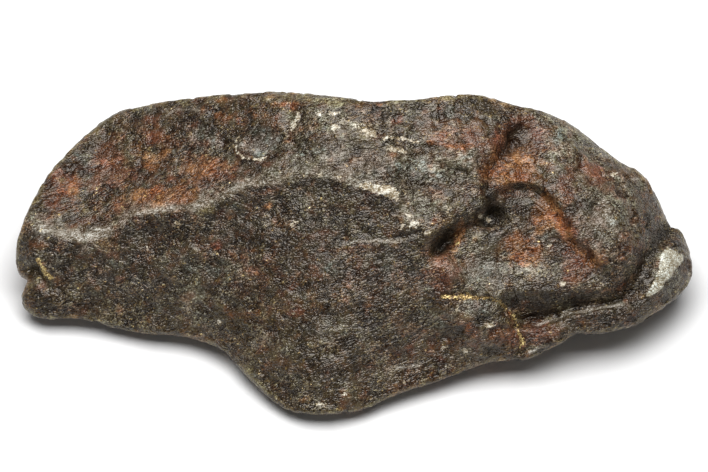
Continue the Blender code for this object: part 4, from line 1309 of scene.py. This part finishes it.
@dataclass(frozen=True)
class Stone:
    """The whole stone: near side, far side, the outline they share, fine relief and marks."""

    view: Viewpoint = Viewpoint()
    outline: Outline = Outline()
    near: NearSide = NearSide()
    far: FarSide = FarSide()
    relief: Relief = Relief()
    marks: Marks = Marks()
    near_round: float = 1.1
    far_round: float = 5.0
    least_thickness: float = 2.5

    def close_rim(self, face: Array, rim: Array, distance: Array, rounding: float) -> Array:
        """Bring a face to the rim by a quarter circle over the rounding's width."""
        off = 1 - np.clip(distance / rounding, 0, 1)
        return rim + (face - rim) * np.sqrt(1 - off * off)

    def sides(self, grid: Array) -> tuple[Array, Array]:
        """Both sides over the grid, meeting at the rim.

        Args:
            grid: the outline's grid of (u, v).

        Returns:
            Grids of x, y and z in millimetres for the near side and the far side.
        """
        u, v = grid[..., 0], grid[..., 1]
        distance = self.outline.rim_distance(grid)
        near = self.near.at(u, v)
        rim = near - self.near_round
        top_u, top_v = np.array(self.outline.top).T
        top_w = self.near.at(top_u, top_v) - self.near_round
        top_line = np.interp(u, top_u, self.view.to_stone(top_u, top_v, top_w)[:, 1])
        far = self.far.at(u, v, top_line, self.view)
        far = np.minimum(far, near - self.least_thickness)
        near += self.relief.broad(self.view.to_stone(u, v, near))
        far -= self.relief.far_gain * self.relief.broad(self.view.to_stone(u, v, far))
        near = self.close_rim(near, rim, distance, self.near_round)
        far = self.close_rim(far, rim, distance, self.far_round)
        return self.view.to_stone(u, v, near), self.view.to_stone(u, v, far)

    def join(self, near: Array, far: Array) -> tuple[Array, Array]:
        """One closed mesh of both sides, which use the same points along the rim.

        Args:
            near: grid of the near side's points.
            far: grid of the far side's points.

        Returns:
            Points and four-sided faces, all pointing out.
        """
        rows, columns = near.shape[:2]
        near_ids = np.arange(rows * columns).reshape(rows, columns)
        far_ids = near_ids.copy()
        inner = np.arange((rows - 2) * (columns - 2)).reshape(rows - 2, -1)
        far_ids[1:-1, 1:-1] = rows * columns + inner
        points = np.concatenate([near.reshape(-1, 3), far[1:-1, 1:-1].reshape(-1, 3)])
        faces = []
        for ids in (near_ids, far_ids[::-1]):
            corners = ids[:-1, :-1], ids[1:, :-1], ids[1:, 1:], ids[:-1, 1:]
            faces.append(np.stack([corner.ravel() for corner in corners], 1))
        return points, np.concatenate(faces)

    def normals(self, points: Array, faces: Array) -> Array:
        """Outward normal of each point: the sum of its faces' diagonal cross products, to length 1.

        Args:
            points: the mesh's points.
            faces: its four-sided faces.

        Returns:
            One row of x, y and z for each point.
        """
        corner = points[faces]
        crossed = np.cross(corner[:, 2] - corner[:, 0], corner[:, 3] - corner[:, 1])
        ids = faces.ravel()
        spread = np.repeat(crossed, faces.shape[1], axis=0)
        added = np.stack([np.bincount(ids, axis, len(points)) for axis in spread.T], 1)
        return added / np.linalg.norm(added, axis=1, keepdims=True)

    def paint(self, grid: Array, points: Array, fine: Array) -> dict[str, Array]:
        """Every layer that the finish reads, over the whole mesh.

        The near side's marks are listed one by one. The far side's come from broad swells cut at a
        level, so that rust and grey patches of the same size go on round the stone.

        Args:
            grid: the outline's grid of (u, v).
            points: the mesh's points in millimetres.
            fine: height of the fine relief at each point.

        Returns:
            Layer name to one number for each point.
        """
        u, v = grid[..., 0].ravel(), grid[..., 1].ravel()
        far = points[len(u):]
        patches = {patch.mark: patch.at(far) for patch in self.marks.far}
        layers = {
            mark.value: np.concatenate([near_part, patches.get(mark, np.zeros(len(far)))])
            for mark, near_part in self.marks.layers(u, v).items()
        }
        # A tan band along the outline paints the light that the rim catches from the floor.
        height, reach = self.marks.painted_rim_light
        rim = height * bell(self.outline.rim_distance(grid).ravel(), reach)
        tan = layers[Mark.TAN.value]
        tan[:len(u)] = np.maximum(tan[:len(u)], rim)
        layers[RELIEF_LAYER] = np.clip(fine / self.relief.layer_height, -1, 1)
        return layers

    def build(self) -> tuple[bpy.types.Object, Vector]:
        """The finished stone as one closed mesh, in metres, standing where the solid stands.

        Returns:
            The stone's object, at the origin, and how far its own frame was moved, in metres.
        """
        grid = self.outline.grid()
        points, faces = self.join(*self.sides(grid))
        middle = (points.min(0) + points.max(0)) / 2
        u, v = grid[..., 0].ravel(), grid[..., 1].ravel()
        gain = np.full(len(points), self.relief.far_rough)
        gain[:len(u)] = self.relief.gain(u, v)
        fine = gain * self.relief.fine(points, self.view)
        layers = self.paint(grid, points, fine)
        points = points + self.normals(points, faces) * fine[:, None]
        low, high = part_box(NODE)
        shift = np.array((low + high) / 2) / MM - middle
        shift[2] = 0
        points += shift
        points[:, 2] = np.maximum(points[:, 2], 0)
        mesh = bpy.data.meshes.new("iron_stone")
        mesh.from_pydata((points * MM).tolist(), [], faces.tolist())
        for name, values in layers.items():
            layer = mesh.attributes.new(name, "FLOAT", "POINT")
            layer.data.foreach_set("value", values.astype(np.float32))
        mesh.shade_smooth()
        mesh.update()
        stone = bpy.data.objects.new("iron_stone", mesh)
        bpy.context.scene.collection.objects.link(stone)
        return stone, Vector(shift * MM)


@dataclass(frozen=True)
class Grain:
    """One random pattern: its size in millimetres, its finer layers, and how far it is bent.

    The seed sets it apart from other patterns of its size.
    """

    size: float
    detail: float = 2.0
    harshness: float = 0.5
    seed: float = 0.0
    swirl: float = 0.0


class Sheet:
    """The node sheet of one material, with short calls that add a node and link it."""

    number_sides: tuple[int, int] = (2, 3)
    colour_sides: tuple[int, int] = (6, 7)
    number_result: int = 0
    colour_result: int = 2

    def __init__(self, name: str) -> None:
        """Make an empty material with a shader and its output.

        Args:
            name: the material's name.
        """
        self.material = bpy.data.materials.new(name)
        self.material.use_nodes = True
        self.tree = self.material.node_tree
        self.shader = self.tree.nodes["Principled BSDF"]
        coordinates = self.tree.nodes.new("ShaderNodeTexCoord")
        self.place = coordinates.outputs["Object"]

    def put(self, socket: Socket, value: Value) -> None:
        """Link a socket to another, or set its value.

        Args:
            socket: the socket that takes the value.
            value: another socket, a number, or a colour.
        """
        if isinstance(value, Socket):
            self.tree.links.new(value, socket)
        elif isinstance(value, tuple) and len(value) == 3 and socket.type == "RGBA":
            socket.default_value = (*value, 1)
        else:
            socket.default_value = value

    def noise(self, grain: Grain, place: Socket | None = None) -> Socket:
        """A grain's pattern.

        Args:
            grain: the pattern.
            place: coordinates, if not the object's own.

        Returns:
            The pattern's value, between 0 and 1.
        """
        node = self.tree.nodes.new("ShaderNodeTexNoise")
        if grain.seed:
            node.noise_dimensions = "4D"
            node.inputs["W"].default_value = grain.seed
        self.put(node.inputs["Vector"], place or self.place)
        node.inputs["Scale"].default_value = 1 / (grain.size * MM)
        node.inputs["Detail"].default_value = grain.detail
        node.inputs["Roughness"].default_value = grain.harshness
        node.inputs["Distortion"].default_value = grain.swirl
        return node.outputs["Fac"]

    def squeezed(self, stretch: Triple, turn: Triple) -> Socket:
        """Coordinates turned and then squeezed along each axis, so that patterns stretch there.

        Args:
            stretch: how many times longer a pattern becomes along each axis.
            turn: the turn about each axis, in radians.

        Returns:
            The coordinates.
        """
        turned = self.tree.nodes.new("ShaderNodeMapping")
        turned.vector_type = "TEXTURE"
        turned.inputs["Rotation"].default_value = turn
        turned.inputs["Scale"].default_value = stretch
        self.put(turned.inputs["Vector"], self.place)
        return turned.outputs["Vector"]

    def layer(self, name: str) -> Socket:
        """A layer of the mesh.

        Args:
            name: the layer's name.

        Returns:
            The layer's value.
        """
        node = self.tree.nodes.new("ShaderNodeAttribute")
        node.attribute_name = name
        return node.outputs["Fac"]

    def math(self, kind: str, a: Value, b: Value = 0.0, c: Value = 0.0) -> Socket:
        """One sum on up to three numbers.

        Args:
            kind: the kind of sum.
            a: the first number.
            b: the second number.
            c: the third number.

        Returns:
            The sum's result.
        """
        node = self.tree.nodes.new("ShaderNodeMath")
        node.operation = kind
        for socket, value in zip(node.inputs, (a, b, c)):
            self.put(socket, value)
        return node.outputs[0]

    def ease(self, value: Value, span: Pair, to: Pair = (0.0, 1.0)) -> Socket:
        """The value carried along an S curve from one pair to another, and held past both ends.

        Args:
            value: the value.
            span: where the curve starts and stops.
            to: the results there.

        Returns:
            The eased value.
        """
        node = self.tree.nodes.new("ShaderNodeMapRange")
        node.interpolation_type = "SMOOTHSTEP"
        self.put(node.inputs["Value"], value)
        for name, number in zip(("From Min", "From Max", "To Min", "To Max"), (*span, *to)):
            node.inputs[name].default_value = number
        return node.outputs["Result"]

    def ramp(self, value: Value, stops: tuple[tuple[float, Triple], ...]) -> Socket:
        """The colour that the value picks from the stops, even between each two of them.

        Args:
            value: the value.
            stops: the colours, each with its position.

        Returns:
            The colour.
        """
        node = self.tree.nodes.new("ShaderNodeValToRGB")
        elements = node.color_ramp.elements
        for number, (position, colour) in enumerate(stops):
            element = elements[number] if number < 2 else elements.new(position)
            element.position = position
            element.color = (*colour, 1)
        self.put(node.inputs["Fac"], value)
        return node.outputs["Color"]

    def mixer(self, share: Value, sides: tuple[int, int], a: Value, b: Value) -> bpy.types.Node:
        """A node that turns a into b by the share.

        Args:
            share: how far it has turned.
            sides: numbers of the two sockets that take a and b.
            a: what it starts from.
            b: what it ends at.

        Returns:
            The node.
        """
        node = self.tree.nodes.new("ShaderNodeMix")
        node.data_type = "RGBA" if sides == self.colour_sides else "FLOAT"
        self.put(node.inputs["Factor"], share)
        for side, value in zip(sides, (a, b)):
            self.put(node.inputs[side], value)
        return node

    def mix(self, share: Value, a: Value, b: Value) -> Socket:
        """Colour a turning into colour b by the share."""
        return self.mixer(share, self.colour_sides, a, b).outputs[self.colour_result]

    def blend(self, share: Value, a: Value, b: Value) -> Socket:
        """Number a turning into number b by the share."""
        return self.mixer(share, self.number_sides, a, b).outputs[self.number_result]

    def multiply(self, a: Value, b: Value) -> Socket:
        """Colour a times colour b.

        Args:
            a: the first colour.
            b: the second colour.

        Returns:
            Their product, held to 1.
        """
        node = self.mixer(1.0, self.colour_sides, a, b)
        node.blend_type = "MULTIPLY"
        node.clamp_result = True
        return node.outputs[self.colour_result]


@dataclass(frozen=True)
class Crease:
    """Thin winding lines where a grain passes its middle, with broad patches free of them.

    Width is how near to its middle the grain is inside a line, depth is in millimetres, and shade
    is how much darker the line is.
    """

    grain: Grain
    gaps: Grain
    width: float
    depth: float
    shade: float
    along_run: bool
    gap_span: Pair = (0.42, 0.58)

    def lines(self, sheet: Sheet, run: Socket) -> Socket:
        """Draw the lines.

        Args:
            sheet: the material's sheet.
            run: coordinates that stretch along the flakes' run.

        Returns:
            Up to 1 in the lines, falling to 0 beside them.
        """
        pattern = sheet.noise(self.grain, run if self.along_run else sheet.place)
        off = sheet.math("ABSOLUTE", sheet.math("SUBTRACT", pattern, 0.5))
        line = sheet.ease(off, (0.0, self.width), (1.0, 0.0))
        return sheet.math("MULTIPLY", line, sheet.ease(sheet.noise(self.gaps), self.gap_span))


@dataclass(frozen=True)
class Coat:
    """How one kind of mark looks: its colour, how strongly that varies, gloss, metal and edge."""

    mark: Mark
    colour: Triple
    roughness: float
    contrast: float = 1.0
    metal: float = 0.0
    cover: float = 0.85
    ragged: float = 0.9
    ragged_size: float = 2.2
    level: Pair = (0.08, 0.92)
    ragged_detail: float = 1.0


@dataclass(frozen=True)
class Surface:
    """What the shader takes: colour, roughness and metal, as the coats laid so far leave them."""

    colour: Value
    roughness: Value
    metal: Value


@dataclass(frozen=True)
class IronFinish:
    """Oiled, rusted iron: a dark brown glossy skin of fine flakes with coats of marks over it, some of them
    painted shade and painted highlights, and a lightest tone that paints glints.
    """

    stops: tuple[float, float, float, float] = (0.0, 0.42, 0.78, 1.0)
    # The lightest stop paints glints: a near-white, bluish lift of the colour on the lightest grain.
    shades: tuple[Triple, ...] = ((0.14, 0.09, 0.035), (1, 1, 1), (1.75, 2.0, 2.35), (4.3, 5.4, 7.2))
    skin: Triple = (0.041, 0.0265, 0.0133)
    tone_range: Pair = (-0.36, 0.46)
    hue: Grain = Grain(3.4, 1.0, 0.5, 1.3)
    hues: tuple[tuple[float, Triple], ...] = (
        (0.34, (0.94, 1.01, 0.94)), (0.44, (0.99, 1.01, 0.87)), (0.54, (1.03, 0.98, 0.88)),
        (0.66, (1.20, 0.94, 0.80)),
    )
    rough_span: Pair = (0.15, 0.9)
    roughness: Pair = (0.30, 0.18)
    gloss: float = 0.60
    gloss_tint: Triple = (1.0, 0.94, 0.87)
    metal: float = 0.0
    fine: Grain = Grain(0.27, 0.0)
    grit: Grain = Grain(0.30, 0.0)
    speck: Grain = Grain(1.8, 1.0)
    mottle: Grain = Grain(4.5, 2.0, 0.6)
    flake: Grain = Grain(0.65, 1.0, swirl=0.6)
    tone_weights: tuple[float, float, float, float] = (0.8, 0.8, 0.95, 0.9)
    bump_heights: tuple[float, float, float, float] = (0.13, 0.11, 0.32, 0.22)
    grain_stretch: Triple = (2.4, 1.0, 1.0)
    grain_turn: Triple = (0.1, -0.17, 0.25)
    relief_shade: float = 0.16
    calm: Grain = Grain(4.0, 2.0, 0.6, 9.1)
    calm_span: Pair = (0.36, 0.64)
    calm_gain: Pair = (0.55, 1.45)
    creases: tuple[Crease, ...] = (
        Crease(Grain(3.6, 2.0, 0.6, 5.0, 0.6), Grain(7.0, 1.0, 0.5, 5.5), 0.05, 0.16, 0.12, False),
        Crease(Grain(1.7, 2.0, 0.6, 6.0, 0.6), Grain(7.0, 1.0, 0.5, 6.5), 0.055, 0.10, 0.07, True),
    )
    coats: tuple[Coat, ...] = (
        # Painted shade, partly darker olive patina.
        Coat(Mark.SHADE, (0.025, 0.017, 0.009), 0.34),
        # Pale patina with painted sheen.
        Coat(Mark.PALE, (0.108, 0.087, 0.059), 0.26, 0.85),
        # Blue-grey patina with painted sheen.
        Coat(Mark.BLUE_PATINA_AND_SHEEN, (0.072, 0.070, 0.058), 0.26, 0.85),
        Coat(Mark.RUST, (0.108, 0.040, 0.021), 0.32, 0.65),
        Coat(Mark.ORANGE, (0.195, 0.077, 0.027), 0.36, 0.55),
        Coat(Mark.TAN, (0.141, 0.103, 0.049), 0.36, 0.7),
    )
    crusts: tuple[Coat, ...] = (
        # Painted shade: the near-black colour laid in hollows and grooves.
        Coat(Mark.HOLLOW_SHADE, (0.016, 0.011, 0.006), 0.40, 0.8, 0.0, 0.8, 0.5),
        # Painted highlight and wear: light grey on crests and edges.
        Coat(Mark.SHEEN_AND_WEAR, (0.285, 0.248, 0.198), 0.26, 0.5, 0.0, 0.72, 0.7, 2.6),
        Coat(Mark.CHALK, (0.537, 0.474, 0.363), 0.50, 0.4, 0.0, 0.95, 1.1, 0.6, (0.4, 0.6), 3.0),
        Coat(Mark.BRASS, (0.365, 0.245, 0.088), 0.32, 0.8, 0.4, 0.95, 1.3, 0.9, (0.3, 0.65), 3.0),
        Coat(Mark.SCAR, (0.521, 0.493, 0.395), 0.36, 0.4, 0.2, 1.0, 0.4, 0.8),
    )
    seed_step: float = 3.7
    fray_harshness: float = 0.6
    rough_share: float = 0.6

    def shaded(self, colour: Triple, contrast: float) -> tuple[tuple[float, Triple], ...]:
        """The colour's ramp: at each stop it is times the shade there to the power of contrast."""
        colours = np.array(colour) * np.array(self.shades) ** contrast
        return tuple((stop, tuple(row)) for stop, row in zip(self.stops, colours.tolist()))

    def lay(self, sheet: Sheet, coat: Coat, seed: float, tone: Socket, under: Surface) -> Surface:
        """Lay one coat over what is there.

        The mark's strength plus a fray of noise is carried from nothing to full between the
        coat's two levels, and times the coat's cover it is the share that the coat takes.

        Args:
            sheet: the material's sheet.
            coat: the coat.
            seed: the fray's seed.
            tone: how light each place is, from 0 to 1.
            under: the surface below the coat.

        Returns:
            The surface with the coat on it.
        """
        fray = sheet.noise(Grain(coat.ragged_size, coat.ragged_detail, self.fray_harshness, seed))
        fray = sheet.math("MULTIPLY_ADD", fray, 2 * coat.ragged, -coat.ragged)
        edge = sheet.math("ADD", fray, sheet.layer(coat.mark.value))
        share = sheet.math("MULTIPLY", sheet.ease(edge, coat.level), coat.cover)
        own = sheet.ramp(tone, self.shaded(coat.colour, coat.contrast))
        rough_share = sheet.math("MULTIPLY", share, self.rough_share)
        return Surface(
            sheet.mix(share, under.colour, own),
            sheet.blend(rough_share, under.roughness, coat.roughness),
            sheet.blend(share, under.metal, coat.metal),
        )

    def coated(self, sheet: Sheet, tone: Socket) -> Surface:
        """The skin with every mark on it.

        The coats come first. A slow drift of hue then multiplies the colour, and the crusts lie
        over that in their own colours. Each fray has a seed of its own, by its place in the order.

        Args:
            sheet: the material's sheet.
            tone: how light each place is, from 0 to 1.

        Returns:
            The finished surface.
        """
        skin = sheet.ramp(tone, self.shaded(self.skin, 1.0))
        surface = Surface(skin, sheet.ease(tone, self.rough_span, self.roughness), self.metal)
        for number, coat in enumerate(self.coats, 1):
            surface = self.lay(sheet, coat, number * self.seed_step, tone, surface)
        hue = sheet.ramp(sheet.noise(self.hue), self.hues)
        surface = replace(surface, colour=sheet.multiply(surface.colour, hue))
        for number, crust in enumerate(self.crusts, 1 + len(self.coats)):
            surface = self.lay(sheet, crust, number * self.seed_step, tone, surface)
        return surface

    def make(self) -> bpy.types.Material:
        """Build the material.

        The tone is a weighted sum of the grains, stronger in some places and calmer in others. It is
        lifted on the raised places of the fine relief and darkened in its pits and in the creases, as
        painted light and shade. The creases and the grains, with specks in place of the mottling, give the
        bumps.

        Returns:
            The material, for the stone's one slot.
        """
        sheet = Sheet("rusted_iron_patina")
        run = sheet.squeezed(self.grain_stretch, self.grain_turn)
        fine = sheet.noise(self.fine, run)
        grit = sheet.noise(self.grit)
        speck = sheet.noise(self.speck)
        mottle = sheet.noise(self.mottle)
        flakes = sheet.noise(self.flake, run)
        calm = sheet.ease(sheet.noise(self.calm, run), self.calm_span, self.calm_gain)
        tone: Value = 0.0
        for pattern, weight in zip((fine, grit, mottle, flakes), self.tone_weights):
            tone = sheet.math("ADD", tone, sheet.math("MULTIPLY_ADD", pattern, weight, -weight / 2))
        tone = sheet.math("MULTIPLY", tone, calm)
        tone = sheet.math("MULTIPLY_ADD", sheet.layer(RELIEF_LAYER), self.relief_shade, tone)
        height: Value = 0.0
        for crease in self.creases:
            lines = crease.lines(sheet, run)
            tone = sheet.math("MULTIPLY_ADD", lines, -crease.shade, tone)
            height = sheet.math("MULTIPLY_ADD", lines, -crease.depth, height)
        for pattern, amount in zip((fine, grit, speck, flakes), self.bump_heights):
            height = sheet.math("MULTIPLY_ADD", pattern, amount, height)
        surface = self.coated(sheet, sheet.ease(tone, self.tone_range))
        bump = sheet.tree.nodes.new("ShaderNodeBump")
        bump.inputs["Distance"].default_value = MM
        sheet.put(bump.inputs["Height"], height)
        sheet.put(sheet.shader.inputs["Normal"], bump.outputs["Normal"])
        sheet.put(sheet.shader.inputs["Base Color"], surface.colour)
        sheet.put(sheet.shader.inputs["Roughness"], surface.roughness)
        sheet.put(sheet.shader.inputs["Metallic"], surface.metal)
        sheet.put(sheet.shader.inputs["Specular IOR Level"], self.gloss)
        sheet.put(sheet.shader.inputs["Specular Tint"], self.gloss_tint)
        return sheet.material


@dataclass(frozen=True)
class FloorFinish:
    """Plain white paper with a trace of mottling and a faint glow of its own."""

    colour: Triple = (0.86, 0.86, 0.86)
    tint: Triple = (0.83, 0.83, 0.83)
    mottle: Grain = Grain(60.0)
    roughness: float = 0.8
    gloss: float = 0.2
    glow: float = 0.015

    def make(self) -> bpy.types.Material:
        """Build the material.

        Returns:
            The material, for the floor's one slot.
        """
        sheet = Sheet("white_paper")
        colour = sheet.mix(sheet.noise(self.mottle), self.colour, self.tint)
        sheet.put(sheet.shader.inputs["Base Color"], colour)
        sheet.put(sheet.shader.inputs["Roughness"], self.roughness)
        sheet.put(sheet.shader.inputs["Specular IOR Level"], self.gloss)
        sheet.put(sheet.shader.inputs["Emission Color"], WHITE)
        sheet.put(sheet.shader.inputs["Emission Strength"], self.glow)
        return sheet.material


@dataclass(frozen=True)
class Lamp:
    """One rectangular soft light that faces the stone. Sizes and places are in metres."""

    name: str
    place: Triple
    size: Pair
    power: float

    def hang(self) -> None:
        """Put the light in the scene, turned towards the stone."""
        light = bpy.data.lights.new(self.name, "AREA")
        light.shape = "RECTANGLE"
        light.size, light.size_y = self.size
        light.energy = self.power
        lamp = bpy.data.objects.new(self.name, light)
        lamp.location = self.place
        lamp.rotation_euler = (-Vector(self.place)).to_track_quat("-Z", "Y").to_euler()
        bpy.context.scene.collection.objects.link(lamp)


@dataclass(frozen=True)
class Studio:
    """White floor, one soft light overhead and the camera at the viewpoint."""

    lamp: Lamp = Lamp("overhead_softbox", (0.0, 0.04, 0.60), (0.60, 0.48), 6.2)
    world_light: float = 0.06
    floor_size: float = 3.0
    floor_drop: float = 0.00005
    lens: float = 800.0
    sensor: float = 36.0
    frame_pixels: int = 708
    pixel: float = 0.2074 * MM
    aim_up: float = 3.5 * MM
    sees_to: float = 10.0

    def lay_floor(self) -> bpy.types.Object:
        """A wide level sheet just under the stone's resting spot.

        Returns:
            The floor's object.
        """
        half = self.floor_size / 2
        corners = [(-half, -half), (half, -half), (half, half), (-half, half)]
        mesh = bpy.data.meshes.new("floor")
        mesh.from_pydata([(x, y, -self.floor_drop) for x, y in corners], [], [(0, 1, 2, 3)])
        mesh.materials.append(FloorFinish().make())
        floor = bpy.data.objects.new("floor", mesh)
        bpy.context.scene.collection.objects.link(floor)
        return floor

    def light(self) -> None:
        """Hang the lamp and set the even light of the white room."""
        self.lamp.hang()
        world = bpy.data.worlds.new("white_room")
        world.use_nodes = True
        background = world.node_tree.nodes["Background"]
        background.inputs["Color"].default_value = (*WHITE, 1)
        background.inputs["Strength"].default_value = self.world_light
        bpy.context.scene.world = world
        bpy.context.scene.view_settings.view_transform = "Standard"

    def place_camera(self, view: Viewpoint, shift: Vector) -> None:
        """Stand the camera at the viewpoint with a long lens.

        Its distance is what makes the frame's width hold the stone at its real size.

        Args:
            view: the viewpoint.
            shift: how far the stone's own frame was moved, in metres.
        """
        up, towards = view.directions()
        middle = Vector((0, 0, view.middle_height * MM)) + shift + up * self.aim_up
        width = self.frame_pixels * self.pixel
        data = bpy.data.cameras.new("camera")
        data.lens = self.lens
        data.sensor_width = self.sensor
        data.clip_end = self.sees_to
        camera = bpy.data.objects.new("camera", data)
        camera.location = middle + towards * (width * self.lens / self.sensor)
        camera.rotation_euler = towards.to_track_quat("Z", "Y").to_euler()
        bpy.context.scene.collection.objects.link(camera)
        bpy.context.scene.camera = camera


def main() -> None:
    """Build the stone, dress it, and set the studio round it."""
    logging.basicConfig(level=logging.INFO, format="%(name)s: %(message)s")
    stone = Stone()
    piece, shift = stone.build()
    piece.data.materials.append(IronFinish().make())
    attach(piece, BODY)
    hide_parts(NODE)
    LOG.info("%s has %d points", piece.name, len(piece.data.vertices))
    studio = Studio()
    floor = studio.lay_floor()
    LOG.info("%s is laid", floor.name)
    studio.light()
    studio.place_camera(stone.view, shift)
    LOG.info("light and camera are up")


if __name__ == "__main__":
    main()
